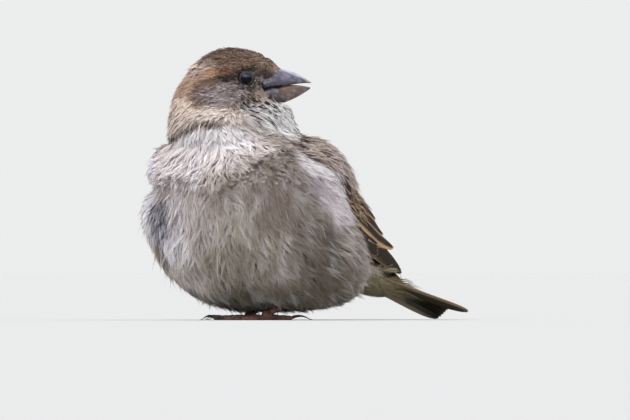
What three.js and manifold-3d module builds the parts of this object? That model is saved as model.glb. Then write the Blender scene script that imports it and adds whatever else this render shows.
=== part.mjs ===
// A house sparrow, life size, resting on flat ground with its plumage fluffed into a ball and its
// head turned far over its left shoulder. Millimetres, +Z up. The trunk faces -Y and +X is the
// bird's left. The origin is the middle of the underside of the model's box.
import * as THREE from "three";
import { mergeVertices } from "three/addons/utils/BufferGeometryUtils.js";
import Module from "manifold-3d";

const wasm = await Module();
wasm.setup();

// ---------------------------------------------------------------- driving dimensions

const GAP = 0.35; // air between neighbouring pieces
const LEFT = 1;
const RIGHT = -1;

const HEAD_AT = [0, -12, 76]; // middle of the skull, feathers on
const HEAD_TURN = 135; // degrees that the bill is turned to the bird's left of straight ahead
const EYE_RADIUS = 2.6; // whole eyeball
const EYE_OPENING = 1.8; // radius of the part that shows between the lids
const EYE_FORWARD = 4.4; // from the middle of the skull
const EYE_UP = 1.4;
const BILL_ROOT = 9.5; // forward from the middle of the skull, under the feathers
const BILL_TIP = 25.4;
const BILL_HALF_WIDTH = 4.3; // at the root

const WING_LENGTH = 70.5; // shoulder to the tip of the longest primary, folded
const TERTIAL_REACH = 63; // shoulder to the tip of the longest tertial
const WING_AXIS = [-12, 43.3]; // Y and Z of the line that both wings fold round, at the shoulder
const WING_DROP = 25; // degrees that the folded wing slopes down to the rear
const WING_LIFT = 15; // degrees above level where the middle of the wing lies on the flank
const WING_GIRTH = 28; // from that line out to the wing at the shoulder, about
const WING_THICK = 1.6; // feathered arm
const WING_TUCK = 3; // how much deeper its front and lower edge lie, under the fluff

const TAIL_LENGTH = 50; // from where it leaves the rump to its tip
const TAIL_ROOT = [1.5, 32, 20];
const TAIL_DROP = 19.8; // degrees below level
const TAIL_TURN = 12; // degrees to the bird's left
const TAIL_TILT = 9; // degrees, right edge down
const TAIL_PAIRS = 6;
const VANE_THICK = 0.65; // one flight feather
const BELLY_HEIGHT = 2.4; // the fluff of the belly lies just over the toes

const TOES = [
  { name: "inner", length: 10, claw: 4.2, spread: -25, radius: 0.8 },
  { name: "middle", length: 14.5, claw: 5, spread: 0, radius: 0.9 },
  { name: "outer", length: 10.5, claw: 4.2, spread: 24, radius: 0.8 },
  { name: "hind", length: 8.5, claw: 6.5, spread: 180, radius: 0.95 },
];
const FEET = [
  { side: LEFT, name: "left", at: [8.5, -4.8], heading: 30 },
  { side: RIGHT, name: "right", at: [-7.5, 3.5], heading: 8 },
];
const HUB_HEIGHT = 1.5; // middle of the ball of the foot
const HUB_RADIUS = 1.75;
const SHANK_RUN = 11.5; // how far back the shank reaches before it is lost in feathers
const SHANK_RISE = 6.5;
const SHANK_RADIUS = 1.05;

// ---------------------------------------------------------------- small tools

const radians = THREE.MathUtils.degToRad;
const lerp = THREE.MathUtils.lerp;
const vector = (x, y, z) => new THREE.Vector3(x, y, z);

// Eases from 0 at a to 1 at b.
const ease = (value, a, b) => THREE.MathUtils.smoothstep(value, a, b);

// A frame at a point: x forward, y to its left, z up, turned, dropped and tilted in degrees.
function frameAt([x, y, z], turn, drop = 0, tilt = 0) {
  const frame = new THREE.Matrix4().makeTranslation(x, y, z);
  frame.multiply(new THREE.Matrix4().makeRotationZ(radians(turn)));
  frame.multiply(new THREE.Matrix4().makeRotationY(radians(drop)));
  return frame.multiply(new THREE.Matrix4().makeRotationX(radians(tilt)));
}

// A closed three.js geometry as a manifold solid, turned right side out.
function solid(geometry) {
  const bare = geometry.clone();
  bare.deleteAttribute("normal");
  bare.deleteAttribute("uv");
  const merged = mergeVertices(bare, 1e-4);
  const vertProperties = new Float32Array(merged.attributes.position.array);
  const triVerts = new Uint32Array(merged.index.array);
  const build = () => new wasm.Manifold(new wasm.Mesh({ numProp: 3, vertProperties, triVerts }));
  const made = build();
  if (made.volume() > 0) return made;
  for (let i = 0; i < triVerts.length; i += 3) {
    [triVerts[i + 1], triVerts[i + 2]] = [triVerts[i + 2], triVerts[i + 1]];
  }
  return build();
}

// Every vertex of a geometry goes where place(x, y, z) says.
function reshape(geometry, place) {
  const positions = geometry.attributes.position;
  for (let i = 0; i < positions.count; i++) {
    const moved = place(positions.getX(i), positions.getY(i), positions.getZ(i));
    positions.setXYZ(i, moved.x, moved.y, moved.z);
  }
  return geometry;
}

// A closed tube: place(along, across, up) is given 0 to 1 along it and the unit circle round it.
function sweep(place, sides, steps) {
  const tube = new THREE.CylinderGeometry(1, 1, 1, sides, steps);
  return solid(reshape(tube, (x, y, z) => place(y + 0.5, x, z)));
}

// A closed plate: place(along, across, through) is given 0 to 1, -1 to 1 and -1 to 1.
function plate(place, steps, columns) {
  const sheet = new THREE.BoxGeometry(1, 2, 2, steps, columns, 1);
  return solid(reshape(sheet, (x, y, z) => place(x + 0.5, y, z)));
}

const union = (solids) => solids.reduce((sum, next) => sum.add(next));

// The biggest of a solid's shells, without the crumbs and bubbles that cuts and laps can leave,
// and without edges that stand out of a flat by less than the fineness.
function biggest(made, fineness = 0.08) {
  const shells = made.simplify(fineness).decompose();
  return shells.reduce((a, b) => (a.volume() > b.volume() ? a : b));
}

// Everything on the side of a plane that its normal points to.
function halfSpace(point, normal) {
  const size = 400;
  const box = new THREE.BoxGeometry(size, size, size);
  const turn = new THREE.Quaternion().setFromUnitVectors(vector(0, 0, 1), normal.clone().normalize());
  box.translate(0, 0, size / 2).applyQuaternion(turn).translate(point.x, point.y, point.z);
  return solid(box);
}

// ---------------------------------------------------------------- the body's rounded masses

// How far a point is outside an ellipsoid, below zero inside.
function ellipsoid(at, radii, frame = new THREE.Matrix4()) {
  const toLocal = frame.clone().invert();
  const middle = vector(...at);
  const size = vector(...radii);
  return (point) => {
    const scaled = point.clone().applyMatrix4(toLocal).sub(middle).divide(size);
    const reach = scaled.length();
    const slope = scaled.divide(size).length();
    return slope < 1e-6 ? -Math.min(...radii) : (reach * (reach - 1)) / slope;
  };
}

// Masses run together, as flesh and feathers do, over the given softness.
function merge(masses, softness) {
  const join = (a, b) => {
    const overlap = Math.max(softness - Math.abs(a - b), 0) / softness;
    return Math.min(a, b) - (overlap * overlap * softness) / 4;
  };
  return (point) => masses.map((mass) => mass(point)).reduce(join);
}

// How far it is from a point inside the masses to their surface, going one way.
function reachOf(masses, from, way) {
  const step = 1.5;
  const depth = (reach) => masses(from.clone().addScaledVector(way, reach));
  let outside = step;
  while (depth(outside) < 0) outside += step;
  let inside = outside - step;
  for (let i = 0; i < 12; i++) {
    const half = (inside + outside) / 2;
    if (depth(half) < 0) inside = half;
    else outside = half;
  }
  return outside;
}

// A skin drawn over the masses: a ball whose vertices move out from its middle to the surface.
function wrap(masses, middle, detail) {
  const ball = new THREE.IcosahedronGeometry(1, detail);
  return solid(
    reshape(ball, (x, y, z) => {
      const way = vector(x, y, z).normalize();
      return middle.clone().addScaledVector(way, reachOf(masses, middle, way));
    }),
  );
}

const ground = halfSpace(vector(0, 0, 0), vector(0, 0, 1)); // all that is above the floor

const headFrame = frameAt(HEAD_AT, HEAD_TURN - 90);
const tailFrame = frameAt(TAIL_ROOT, 90 - TAIL_TURN, TAIL_DROP, -TAIL_TILT);

const bothSides = ([x, y, z], radii) => [LEFT, RIGHT].map((side) => ellipsoid([side * x, y, z], radii));

const trunkMasses = [
  ellipsoid([0, -2, 25.5], [32, 34, 23]), // belly
  ellipsoid([0, -12, 38], [29, 25, 20]), // breast
  ellipsoid([0, 9, 43], [24, 23, 16.5]), // mantle
  ellipsoid([0, 25.5, 30], [17.5, 18, 14]), // rump
];
// The feathers that lie over the front and the lower edge of the folded wings.
const fluffMasses = [
  ...bothSides([14, -13, 47], [15, 17, 12]), // shoulders
  ...bothSides([15, 1, 35], [16, 17, 16]), // breast sides
  ...bothSides([13, 10, 17], [20, 21, 15]), // flanks
  ellipsoid([-14, -16, 33], [17, 16, 13]), // over the bend of the right wing
];
const neckMasses = [
  ellipsoid([0, -12.5, 60], [19, 21, 13]),
  ellipsoid([7, 0, -10], [11, 10, 9], headFrame), // throat
  ellipsoid([-8.5, 0, -8], [11, 10.5, 11], headFrame), // nape
];
const headMasses = [
  ellipsoid([-0.7, 0, 0.3], [12.6, 10, 10.9], headFrame), // skull
  ellipsoid([5, 0, 4.2], [9.7, 5.4, 5.6], headFrame), // forehead
  ellipsoid([2.5, 0, -4], [8.6, 6.5, 6], headFrame), // cheeks
];
const skull = merge(headMasses, 2.5);
const body = merge([...trunkMasses, ...fluffMasses, ...neckMasses, skull], 6);
const upToNeck = merge([...trunkMasses, ...fluffMasses, ...neckMasses], 6);
const fromNeckUp = merge([...neckMasses, skull], 6);

// ---------------------------------------------------------------- bill

// A bill half: each of its top, bottom and half width is a function of x, forward in the head's
// frame.
function billHalf(start, end, top, bottom, width, grow = 0) {
  return sweep(
    (along, across, up) => {
      const x = lerp(start, end + grow, along);
      const high = top(x) + grow;
      const low = bottom(x) - grow;
      const middle = (high + low) / 2;
      const rise = (high - low) / 2;
      return vector(x, across * (width(x) + grow), middle + up * rise).applyMatrix4(headFrame);
    },
    10,
    8,
  );
}

const billPart = (x) => (x - BILL_ROOT) / (BILL_TIP - BILL_ROOT);
const billWidth = (x) => BILL_HALF_WIDTH * Math.max(1 - 0.95 * billPart(x), 0) ** 0.8;
const culmen = (x) => 5 - 5.15 * billPart(x) ** 1.9;
const upperEdge = (x) => -0.35 - 2.6 * (1 - ease(x, BILL_ROOT - 1, 15));
const lowerEdge = (x) => -1.0 - 2.3 * (1 - ease(x, BILL_ROOT - 1, 15)) - 0.6 * ease(x, 21, BILL_TIP);
const gonys = (x) => -6.6 + 4.8 * Math.max((x - 13) / (BILL_TIP - 13), 0) ** 1.7;

const upperBill = (grow) => billHalf(BILL_ROOT, BILL_TIP, culmen, upperEdge, billWidth, grow);
const lowerBill = (grow) =>
  billHalf(BILL_ROOT, BILL_TIP - 0.4, lowerEdge, gonys, (x) => 0.93 * billWidth(x), grow);

// ---------------------------------------------------------------- eyes

// The middle of an eyeball, sunk so that only the opening between the lids stands out.
function eyeMiddle(side) {
  const out = (reach) => vector(EYE_FORWARD, side * reach, EYE_UP).applyMatrix4(headFrame);
  let reach = 0;
  while (body(out(reach)) < 0) reach += 0.05;
  return out(reach - Math.sqrt(EYE_RADIUS ** 2 - EYE_OPENING ** 2));
}

function eyeball(side, grow = 0) {
  const ball = new THREE.SphereGeometry(EYE_RADIUS + grow, 12, 7);
  const middle = eyeMiddle(side);
  return solid(ball.translate(middle.x, middle.y, middle.z));
}

// ---------------------------------------------------------------- wings

// A folded wing is draped on the trunk inside the fluff, and past the rump on a bed that carries
// the wing tips.
const wingAxis = frameAt([0, ...WING_AXIS], 90, WING_DROP);
const wingForm = merge([...trunkMasses, ellipsoid([52, 0, 0], [38, 15, 15], wingAxis)], 6);

// A point of the wing: along runs from the shoulder to the tip, across runs up the wing, and out
// is the height over the form, all in millimetres.
function onWing(side, along, across, out) {
  const girth = WING_GIRTH - 13 * Math.max((along - 12) / 60, 0) ** 1.6;
  const lift = radians(WING_LIFT) + across / girth;
  const root = vector(along, 0, 0).applyMatrix4(wingAxis);
  const tip = vector(along, -side * Math.cos(lift), Math.sin(lift)).applyMatrix4(wingAxis);
  const way = tip.sub(root);
  const tuck = WING_TUCK * (1 - ease(across + 0.55 * along, 0, 18));
  return root.addScaledVector(way, reachOf(wingForm, root, way) + out - tuck);
}

// The wing's upper and lower edges, across it.
const wingTop = (a) => 14 + 6 * ease(a, 3, 20) - 5 * ease(a, 25, 52) - 11 * ease(a, 52, 72);
const wingBottom = (a) => -12 + 7 * ease(a, 15, 66);

// A sheet of the wing's outline between two heights over the form, grown all round.
function wingSheet(side, [from, to], [low, high], [steps, columns], inset = 0, grow = 0) {
  return plate(
    (t, across, through) => {
      const a = lerp(from - grow, to + grow, t);
      const b = lerp(wingBottom(a) + inset - grow, wingTop(a) - inset + grow, (across + 1) / 2);
      return onWing(side, a, b, through < 0 ? low - grow : high + grow);
    },
    steps,
    columns,
  );
}

// The slot that the wing lies in.
const wingSlot = (side) => wingSheet(side, [3, WING_LENGTH], [-WING_THICK - 0.3, 1.3], [9, 4], 0, GAP);

// One feather of the wing, from its root to its tip, both given as [along, across].
function wingFeather(side, root, tip, width, layer, columns) {
  return plate(
    (t, across, through) => {
      const s = 1 - (1 - t) ** 1.5;
      const half = (width / 2) * (0.6 + 0.4 * ease(s, 0, 0.4)) * Math.sqrt(1.03 - s ** 6);
      const a = lerp(root[0], tip[0], s);
      const b = lerp(root[1], tip[1], s) + across * half;
      const held = THREE.MathUtils.clamp(b, wingBottom(a), wingTop(a));
      return onWing(side, a, held, layer + (through * VANE_THICK) / 2);
    },
    3,
    columns,
  );
}

// The folded wing: the feathered arm, the coverts on it, the tips of the primaries and, over them,
// the tertials, whose tips step up towards the back.
function wing(side) {
  const pieces = [
    wingSheet(side, [3, 46], [-WING_THICK, 0], [6, 4], 1),
    wingSheet(side, [5, 27], [-0.5, 0.6], [3, 3], 1.6),
  ];
  for (let i = 0; i < 4; i++) {
    const tip = [WING_LENGTH - 4 * i, -1.6 + i];
    pieces.push(wingFeather(side, [34, -3.5 + i], tip, 6.5, -1.1 + 0.3 * i, 1));
  }
  for (let i = 0; i < 3; i++) {
    const tip = [TERTIAL_REACH - 6 * i, 5 + 2.6 * i];
    pieces.push(wingFeather(side, [26, 2 + 3.5 * i], tip, 9, 0.1 + 0.3 * i, 2));
  }
  return biggest(union(pieces));
}

// ---------------------------------------------------------------- tail

// One tail feather, fanned from the root: fan is in degrees, layer is its height there.
function tailFeather(fan, layer, length) {
  const turn = new THREE.Matrix4().makeRotationZ(radians(fan));
  return plate(
    (t, across, through) => {
      const s = 1 - (1 - t) ** 1.5;
      const half = 3.6 * (0.55 + 0.45 * ease(s, 0, 0.5)) * Math.sqrt(1.04 - s ** 8);
      const point = vector(lerp(-3, length, s), across * half, layer + (through * VANE_THICK) / 2);
      return point.applyMatrix4(turn).applyMatrix4(tailFrame);
    },
    3,
    1,
  );
}

function tail() {
  const pieces = [];
  for (let pair = 0; pair < TAIL_PAIRS; pair++) {
    for (const side of [LEFT, RIGHT]) {
      const fan = side * (0.9 + 1.75 * pair);
      const layer = -0.38 * pair - (side === RIGHT ? 0.19 : 0);
      pieces.push(tailFeather(fan, layer, TAIL_LENGTH - 2 + 0.45 * pair));
    }
  }
  return biggest(union(pieces).intersect(ground));
}

// The slot in the rump that the tail comes out of.
function tailSpace() {
  return sweep(
    (along, across, up) => {
      const x = lerp(-3.6, 30, along);
      const half = 4.4 + 0.2 * Math.max(x, 0);
      return vector(x, across * half * 1.15, -1.1 + up * 2.3).applyMatrix4(tailFrame);
    },
    10,
    4,
  );
}

// ---------------------------------------------------------------- legs

// Forward and sideways of a foot on the ground.
function footAxes({ heading, at }) {
  const turn = radians(heading);
  const forward = vector(-Math.sin(turn), -Math.cos(turn), 0);
  return { forward, origin: vector(at[0], at[1], 0) };
}

const toeWay = (foot, toe) =>
  footAxes(foot).forward.applyAxisAngle(vector(0, 0, 1), radians(toe.spread * foot.side));

// A toe: three pads with pinched joints, and a narrow flat along its underside.
function toeSolid(foot, toe, grow = 0) {
  const way = toeWay(foot, toe);
  const side = vector(-way.y, way.x, 0);
  const { origin } = footAxes(foot);
  return sweep(
    (t, across, up) => {
      const joint = 1 + 0.1 * Math.cos(6 * Math.PI * t);
      const radius = toe.radius * (1.12 - 0.3 * t) * joint;
      const point = origin.clone().addScaledVector(way, t * toe.length);
      point.addScaledVector(side, up * (radius + grow));
      return point.setZ(Math.max(0.84 * radius + across * (radius + grow), grow ? -1 : 0));
    },
    6,
    4,
  );
}

// A claw: an arc that leaves the toe level, then hooks down to the ground.
function claw(foot, toe) {
  const way = toeWay(foot, toe);
  const side = vector(-way.y, way.x, 0);
  const start = footAxes(foot).origin.addScaledVector(way, toe.length + GAP);
  return sweep(
    (t, across, up) => {
      const radius = lerp(0.65, 0.26, t ** 0.8);
      const hook = 0.8 * Math.sin(Math.PI * Math.min(t * 1.15, 1)) + lerp(0.75, 0.3, t);
      const point = start.clone().addScaledVector(way, t * toe.claw);
      point.addScaledVector(side, across * radius * 0.75);
      return point.setZ(hook + up * radius);
    },
    5,
    4,
  );
}

// The ball of the foot, where the toes meet.
function hub(foot, grow = 0) {
  const ball = new THREE.SphereGeometry(1, 8, 6);
  const { origin } = footAxes(foot);
  const radius = HUB_RADIUS + grow;
  const place = (x, y, z) =>
    vector(origin.x + x * radius, origin.y + y * radius, Math.max(HUB_HEIGHT + z * radius, 0));
  return solid(reshape(ball, place));
}

const footSolid = (foot, grow = 0) =>
  union([hub(foot, grow), ...TOES.map((toe) => toeSolid(foot, toe, grow))]);

// The bare leg between the foot and the belly's feathers.
function shankTube(foot, grow = 0) {
  const { forward, origin } = footAxes(foot);
  const sideways = vector(-forward.y, forward.x, 0);
  const low = origin.clone().setZ(HUB_HEIGHT + 0.6);
  const high = origin.clone().addScaledVector(forward, -SHANK_RUN).setZ(HUB_HEIGHT + SHANK_RISE);
  const lean = high.clone().sub(low).normalize();
  const over = lean.clone().cross(sideways);
  return sweep(
    (t, across, up) => {
      const radius = SHANK_RADIUS * (1.1 - 0.25 * Math.sin(Math.PI * t)) + grow;
      const point = low.clone().lerp(high, t).addScaledVector(lean, t * grow);
      return point.addScaledVector(sideways, across * radius * 0.85).addScaledVector(over, up * radius);
    },
    8,
    3,
  );
}

const shank = (foot) => biggest(shankTube(foot).subtract(footSolid(foot, GAP)));

// ---------------------------------------------------------------- parting the body

// Two thin cuts part the head from the neck and the neck from the trunk. Each plane has one
// height at the nape and one at the throat, and is level across the neck.
function cutPlane(napeHeight, throatHeight) {
  const neckDepth = 40;
  const middle = vector(HEAD_AT[0], HEAD_AT[1], (napeHeight + throatHeight) / 2);
  const forward = vector(1, 0, 0).transformDirection(headFrame);
  const sideways = vector(0, 1, 0).transformDirection(headFrame);
  forward.multiplyScalar(neckDepth).setZ(throatHeight - napeHeight).normalize();
  return { middle, forward, sideways, normal: forward.clone().cross(sideways) };
}

const above = ({ middle, normal }) => halfSpace(middle.clone().addScaledVector(normal, GAP / 2), normal);
const below = ({ middle, normal }) =>
  halfSpace(middle.clone().addScaledVector(normal, -GAP / 2), normal.clone().negate());

const CHIN = [70, 64.5]; // heights at the nape and the throat
const COLLAR = [57, 60.5];
const chinCut = cutPlane(...CHIN);
const collarCut = cutPlane(...COLLAR);

function headSolid() {
  let made = wrap(fromNeckUp, vector(...HEAD_AT), 6).intersect(above(chinCut));
  for (const side of [LEFT, RIGHT]) made = made.subtract(eyeball(side, GAP * 0.6));
  return biggest(made.subtract(upperBill(GAP)).subtract(lowerBill(GAP)));
}

// The neck is rings in planes that turn from the collar's to the chin's.
function neckSolid() {
  const rings = sweep(
    (along, across, up) => {
      const [nape, throat] = [0, 1].map((end) =>
        lerp(COLLAR[end] + 0.6 * GAP, CHIN[end] - 0.6 * GAP, along),
      );
      const { middle, forward, sideways } = cutPlane(nape, throat);
      const way = forward.multiplyScalar(up).addScaledVector(sideways, across);
      const size = way.length();
      if (size < 1e-6) return middle; // the middle of a cap
      way.normalize();
      return middle.addScaledVector(way, size * reachOf(body, middle, way));
    },
    30,
    4,
  );
  return biggest(rings.subtract(lowerBill(GAP)));
}

// The feathers over and under the tail root, which reach past the ball of the trunk.
function tailCoverts() {
  const under = new THREE.SphereGeometry(1, 14, 10).scale(22, 9.5, 5.5).translate(4, 0, -2.4);
  const over = new THREE.SphereGeometry(1, 14, 8).scale(18, 8, 4).translate(-1, 0, 0.4);
  return [under, over].map((geometry) => solid(geometry.applyMatrix4(tailFrame)));
}

function trunkSolid() {
  const ball = wrap(upToNeck, vector(0, 0, 29), 7).intersect(below(collarCut));
  let made = union([ball, ...tailCoverts()]);
  made = made.intersect(halfSpace(vector(0, 0, BELLY_HEIGHT), vector(0, 0, 1)));
  for (const side of [LEFT, RIGHT]) made = made.subtract(wingSlot(side));
  made = made.subtract(tailSpace());
  for (const foot of FEET) made = made.subtract(shankTube(foot, GAP)).subtract(hub(foot, GAP));
  return biggest(made);
}

// ---------------------------------------------------------------- the pieces

const plumage = new THREE.MeshStandardMaterial({ color: 0xb3a89b, roughness: 0.9 });
const crown = new THREE.MeshStandardMaterial({ color: 0x8a6a50, roughness: 0.9 });
const flight = new THREE.MeshStandardMaterial({ color: 0x5a4736, roughness: 0.75 });
const horn = new THREE.MeshStandardMaterial({ color: 0x77717a, roughness: 0.45 });
const paleHorn = new THREE.MeshStandardMaterial({ color: 0x93796c, roughness: 0.45 });
const scaledSkin = new THREE.MeshStandardMaterial({ color: 0x8d6658, roughness: 0.6 });
const darkClaw = new THREE.MeshStandardMaterial({ color: 0x3b3338, roughness: 0.4 });
const wetEye = new THREE.MeshStandardMaterial({ color: 0x0d0a09, roughness: 0.08 });

const bird = new THREE.Group();

function piece(name, made, material) {
  const { numProp, vertProperties, triVerts } = made.getMesh();
  const positions = new Float32Array((vertProperties.length / numProp) * 3);
  for (let i = 0; i < positions.length / 3; i++) {
    positions.set(vertProperties.subarray(i * numProp, i * numProp + 3), i * 3);
  }
  const geometry = new THREE.BufferGeometry();
  geometry.setAttribute("position", new THREE.BufferAttribute(positions, 3));
  geometry.setIndex(new THREE.BufferAttribute(new Uint32Array(triVerts), 1));
  const mesh = new THREE.Mesh(geometry, material);
  mesh.name = name;
  bird.add(mesh);
}

piece("trunk", trunkSolid(), plumage);
piece("neck", neckSolid(), plumage);
piece("head", headSolid(), crown);
piece("bill_upper", upperBill(0), horn);
piece("bill_lower", lowerBill(0), paleHorn);
piece("tail", tail(), flight);

for (const side of [LEFT, RIGHT]) {
  const name = side === LEFT ? "left" : "right";
  piece(`eye_${name}`, eyeball(side), wetEye);
  piece(`wing_${name}`, wing(side), flight);
}

for (const foot of FEET) {
  piece(`foot_${foot.name}`, footSolid(foot), scaledSkin);
  piece(`shank_${foot.name}`, shank(foot), scaledSkin);
  for (const toe of TOES) piece(`claw_${foot.name}_${toe.name}`, claw(foot, toe), darkClaw);
}

// The origin goes to the middle of the box's underside.
const box = new THREE.Box3().setFromObject(bird);
const middle = box.getCenter(vector(0, 0, 0));
bird.position.set(-middle.x, -middle.y, -box.min.z);

export default bird;
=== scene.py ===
import math
from collections import namedtuple

import bmesh
import bpy
import numpy as np
from mathutils import Matrix, Vector
from mathutils.kdtree import KDTree


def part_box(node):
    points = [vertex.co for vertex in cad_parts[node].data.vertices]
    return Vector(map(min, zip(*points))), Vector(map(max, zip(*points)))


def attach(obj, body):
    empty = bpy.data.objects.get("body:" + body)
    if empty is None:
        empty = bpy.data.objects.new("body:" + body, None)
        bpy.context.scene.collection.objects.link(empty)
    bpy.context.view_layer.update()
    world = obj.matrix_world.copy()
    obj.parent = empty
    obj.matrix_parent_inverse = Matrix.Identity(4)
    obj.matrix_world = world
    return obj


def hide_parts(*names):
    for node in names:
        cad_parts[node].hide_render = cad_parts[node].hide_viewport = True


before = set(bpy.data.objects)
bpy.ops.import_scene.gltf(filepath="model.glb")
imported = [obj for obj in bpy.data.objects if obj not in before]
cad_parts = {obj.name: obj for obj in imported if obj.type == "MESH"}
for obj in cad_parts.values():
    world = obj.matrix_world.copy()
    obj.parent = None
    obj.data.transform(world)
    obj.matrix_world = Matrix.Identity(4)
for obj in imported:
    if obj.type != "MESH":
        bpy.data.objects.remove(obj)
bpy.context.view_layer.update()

# ---------------------------------------------------------------- camera
# The view is from the bird's left front and low over the floor, through a long lens. All of the
# bird's own sizes below are in millimetres from the point on the floor between its feet.
MM = 0.001
FEET = np.array((0.0, -20.68, 0.0))
TO_LENS = np.array((1.0, -1.0, 0.0)) / math.sqrt(2)
ACROSS_VIEW = np.array((1.0, 1.0, 0.0)) / math.sqrt(2)
UP = np.array((0.0, 0.0, 1.0))
LENS_DISTANCE, LENS_HEIGHT = 5000, 16
VIEW_WIDTH, SENSOR_WIDTH = 201.6, 36
AIM_ASIDE, AIM_NEARER, AIM_HEIGHT = 3.4, 14.6, 35.2

lens_data = bpy.data.cameras.new("camera")
lens_data.sensor_width = SENSOR_WIDTH
lens_data.lens = SENSOR_WIDTH * LENS_DISTANCE / VIEW_WIDTH
lens_data.clip_start = 0.05
camera = bpy.data.objects.new("camera", lens_data)
bpy.context.scene.collection.objects.link(camera)
aim = ACROSS_VIEW * AIM_ASIDE + TO_LENS * AIM_NEARER + UP * AIM_HEIGHT
lens_place = ACROSS_VIEW * AIM_ASIDE + TO_LENS * (AIM_NEARER + LENS_DISTANCE) + UP * LENS_HEIGHT
camera.location = lens_place * MM
camera.rotation_euler = (Vector(aim * MM) - camera.location).to_track_quat("-Z", "Y").to_euler()
bpy.context.scene.camera = camera
bpy.context.scene.view_settings.view_transform = "Standard"

# ---------------------------------------------------------------- floor and light
# A plain pale studio floor without an edge in view, a large soft lamp in front of and above the
# breast, a weaker one on the bird's left, a little behind it, and an even white room round it.
FLOOR_TONE, FLOOR_RADIUS = 0.6, 60
LAMP_SOFTNESS = 50
ROOM_SEEN, ROOM_LIGHT, ROOM_STRENGTH = (0.84, 0.845, 0.85, 1), (0.97, 0.98, 1, 1), 0.6


def tune(node, **values):
    """Sets a shader node's inputs by name."""
    for name, value in values.items():
        node.inputs[name.replace("_", " ")].default_value = value


def surface(name, colour, roughness):
    """A material with its shader, and the nodes and links of both."""
    material = bpy.data.materials.new(name)
    material.use_nodes = True
    nodes, links = material.node_tree.nodes, material.node_tree.links
    shader = nodes["Principled BSDF"]
    tune(shader, Base_Color=(*colour, 1), Roughness=roughness)
    return material, shader, nodes, links


def finished(name, shape, material):
    """The mesh in shape as an object at the origin, smooth and with its material."""
    data = bpy.data.meshes.new(name)
    shape.to_mesh(data)
    shape.free()
    data.materials.append(material)
    for face in data.polygons:
        face.use_smooth = True
    made = bpy.data.objects.new(name, data)
    bpy.context.scene.collection.objects.link(made)
    return made


floor_shape = bmesh.new()
bmesh.ops.create_circle(floor_shape, cap_ends=True, segments=96, radius=FLOOR_RADIUS)
floor_finish = surface("studio_floor", (FLOOR_TONE, FLOOR_TONE, FLOOR_TONE), 0.9)[0]
floor = finished("studio_floor", floor_shape, floor_finish)

for name, lamp_way, strength in (
    ("soft_lamp", TO_LENS * 0.5 - ACROSS_VIEW * 0.5 + UP * 0.9, 2.5),
    ("side_lamp", TO_LENS * 0.1 + ACROSS_VIEW * 0.9 + UP * 0.6, 0.75),
):
    lamp_data = bpy.data.lights.new(name, "SUN")
    lamp_data.angle = math.radians(LAMP_SOFTNESS)
    lamp_data.energy = strength
    lamp = bpy.data.objects.new(name, lamp_data)
    lamp.rotation_euler = Vector(-lamp_way).to_track_quat("-Z", "Y").to_euler()
    bpy.context.scene.collection.objects.link(lamp)

room = bpy.data.worlds.new("room")
room.use_nodes = True
bpy.context.scene.world = room
nodes, links = room.node_tree.nodes, room.node_tree.links
seen = nodes.new("ShaderNodeBackground")
tune(seen, Color=ROOM_SEEN)
lit = nodes["Background"]
tune(lit, Color=ROOM_LIGHT, Strength=ROOM_STRENGTH)
light_path = nodes.new("ShaderNodeLightPath")
in_view = light_path.outputs["Is Camera Ray"]
for ray in ("Is Transmission Ray", "Is Glossy Ray"):
    larger = nodes.new("ShaderNodeMath")
    larger.operation = "MAXIMUM"
    links.new(in_view, larger.inputs[0])
    links.new(light_path.outputs[ray], larger.inputs[1])
    in_view = larger.outputs[0]
either = nodes.new("ShaderNodeMixShader")
links.new(in_view, either.inputs["Fac"])
links.new(lit.outputs[0], either.inputs[1])
links.new(seen.outputs[0], either.inputs[2])
links.new(either.outputs[0], nodes["World Output"].inputs["Surface"])

# ---------------------------------------------------------------- markings
# The colours of the bird's feathers, worked out for any place on it, so that the skin and the
# feathers over it carry the same ones. Some of them are painted shade: in the fold between neck and
# breast, under the hem of the breast and in a notch below it, and low on the belly and flanks. The
# head's places are given from its middle: forward, to a side and up.
HEAD = np.array((0.0, -12.0, 76.0))
FORWARD = ACROSS_VIEW
CLOUD_CELLS = 32
chance = np.random.default_rng(24)
CLOUDS = chance.random((CLOUD_CELLS, CLOUD_CELLS, CLOUD_CELLS)) * 2 - 1


def ease(value, start, end):
    part = np.clip((value - start) / (end - start), 0, 1)
    return part * part * (3 - 2 * part)


def from_head(places):
    """Places as they lie from the head's middle, the same on either side of it."""
    away = places - HEAD
    return np.stack((away @ FORWARD, np.abs(away @ TO_LENS), away[:, 2]), axis=1)


def clouds(places, size, shift=0.0):
    """Soft random patches of about the given size, from -1 to 1."""
    cell = places / size + 50 + shift
    low = np.floor(cell).astype(int)
    part = cell - low
    part = part * part * (3 - 2 * part)
    total = 0
    for x in (0, 1):
        for y in (0, 1):
            for z in (0, 1):
                share = np.prod(np.where((x, y, z), part, 1 - part), axis=1)
                total = total + share * CLOUDS[tuple((low + (x, y, z)).T % CLOUD_CELLS)]
    return total


def bell(value, width):
    return np.exp(-((value / width) ** 2))


def within(places, middle, radii, edge=0.35):
    """1 inside a rounded patch, fading to 0 over its edge."""
    reach = np.linalg.norm((places - middle) / np.array(radii, float), axis=1)
    return 1 - ease(reach, 1 - edge, 1 + edge)


def inside(places, middle, radii):
    return within(places, middle, radii) > 0.5


def as_light(shade):
    """A shade of 0 to 255 as amounts of light."""
    shade = np.array(shade) / 255
    return np.where(shade <= 0.04045, shade / 12.92, ((shade + 0.055) / 1.055) ** 2.4)


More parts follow.
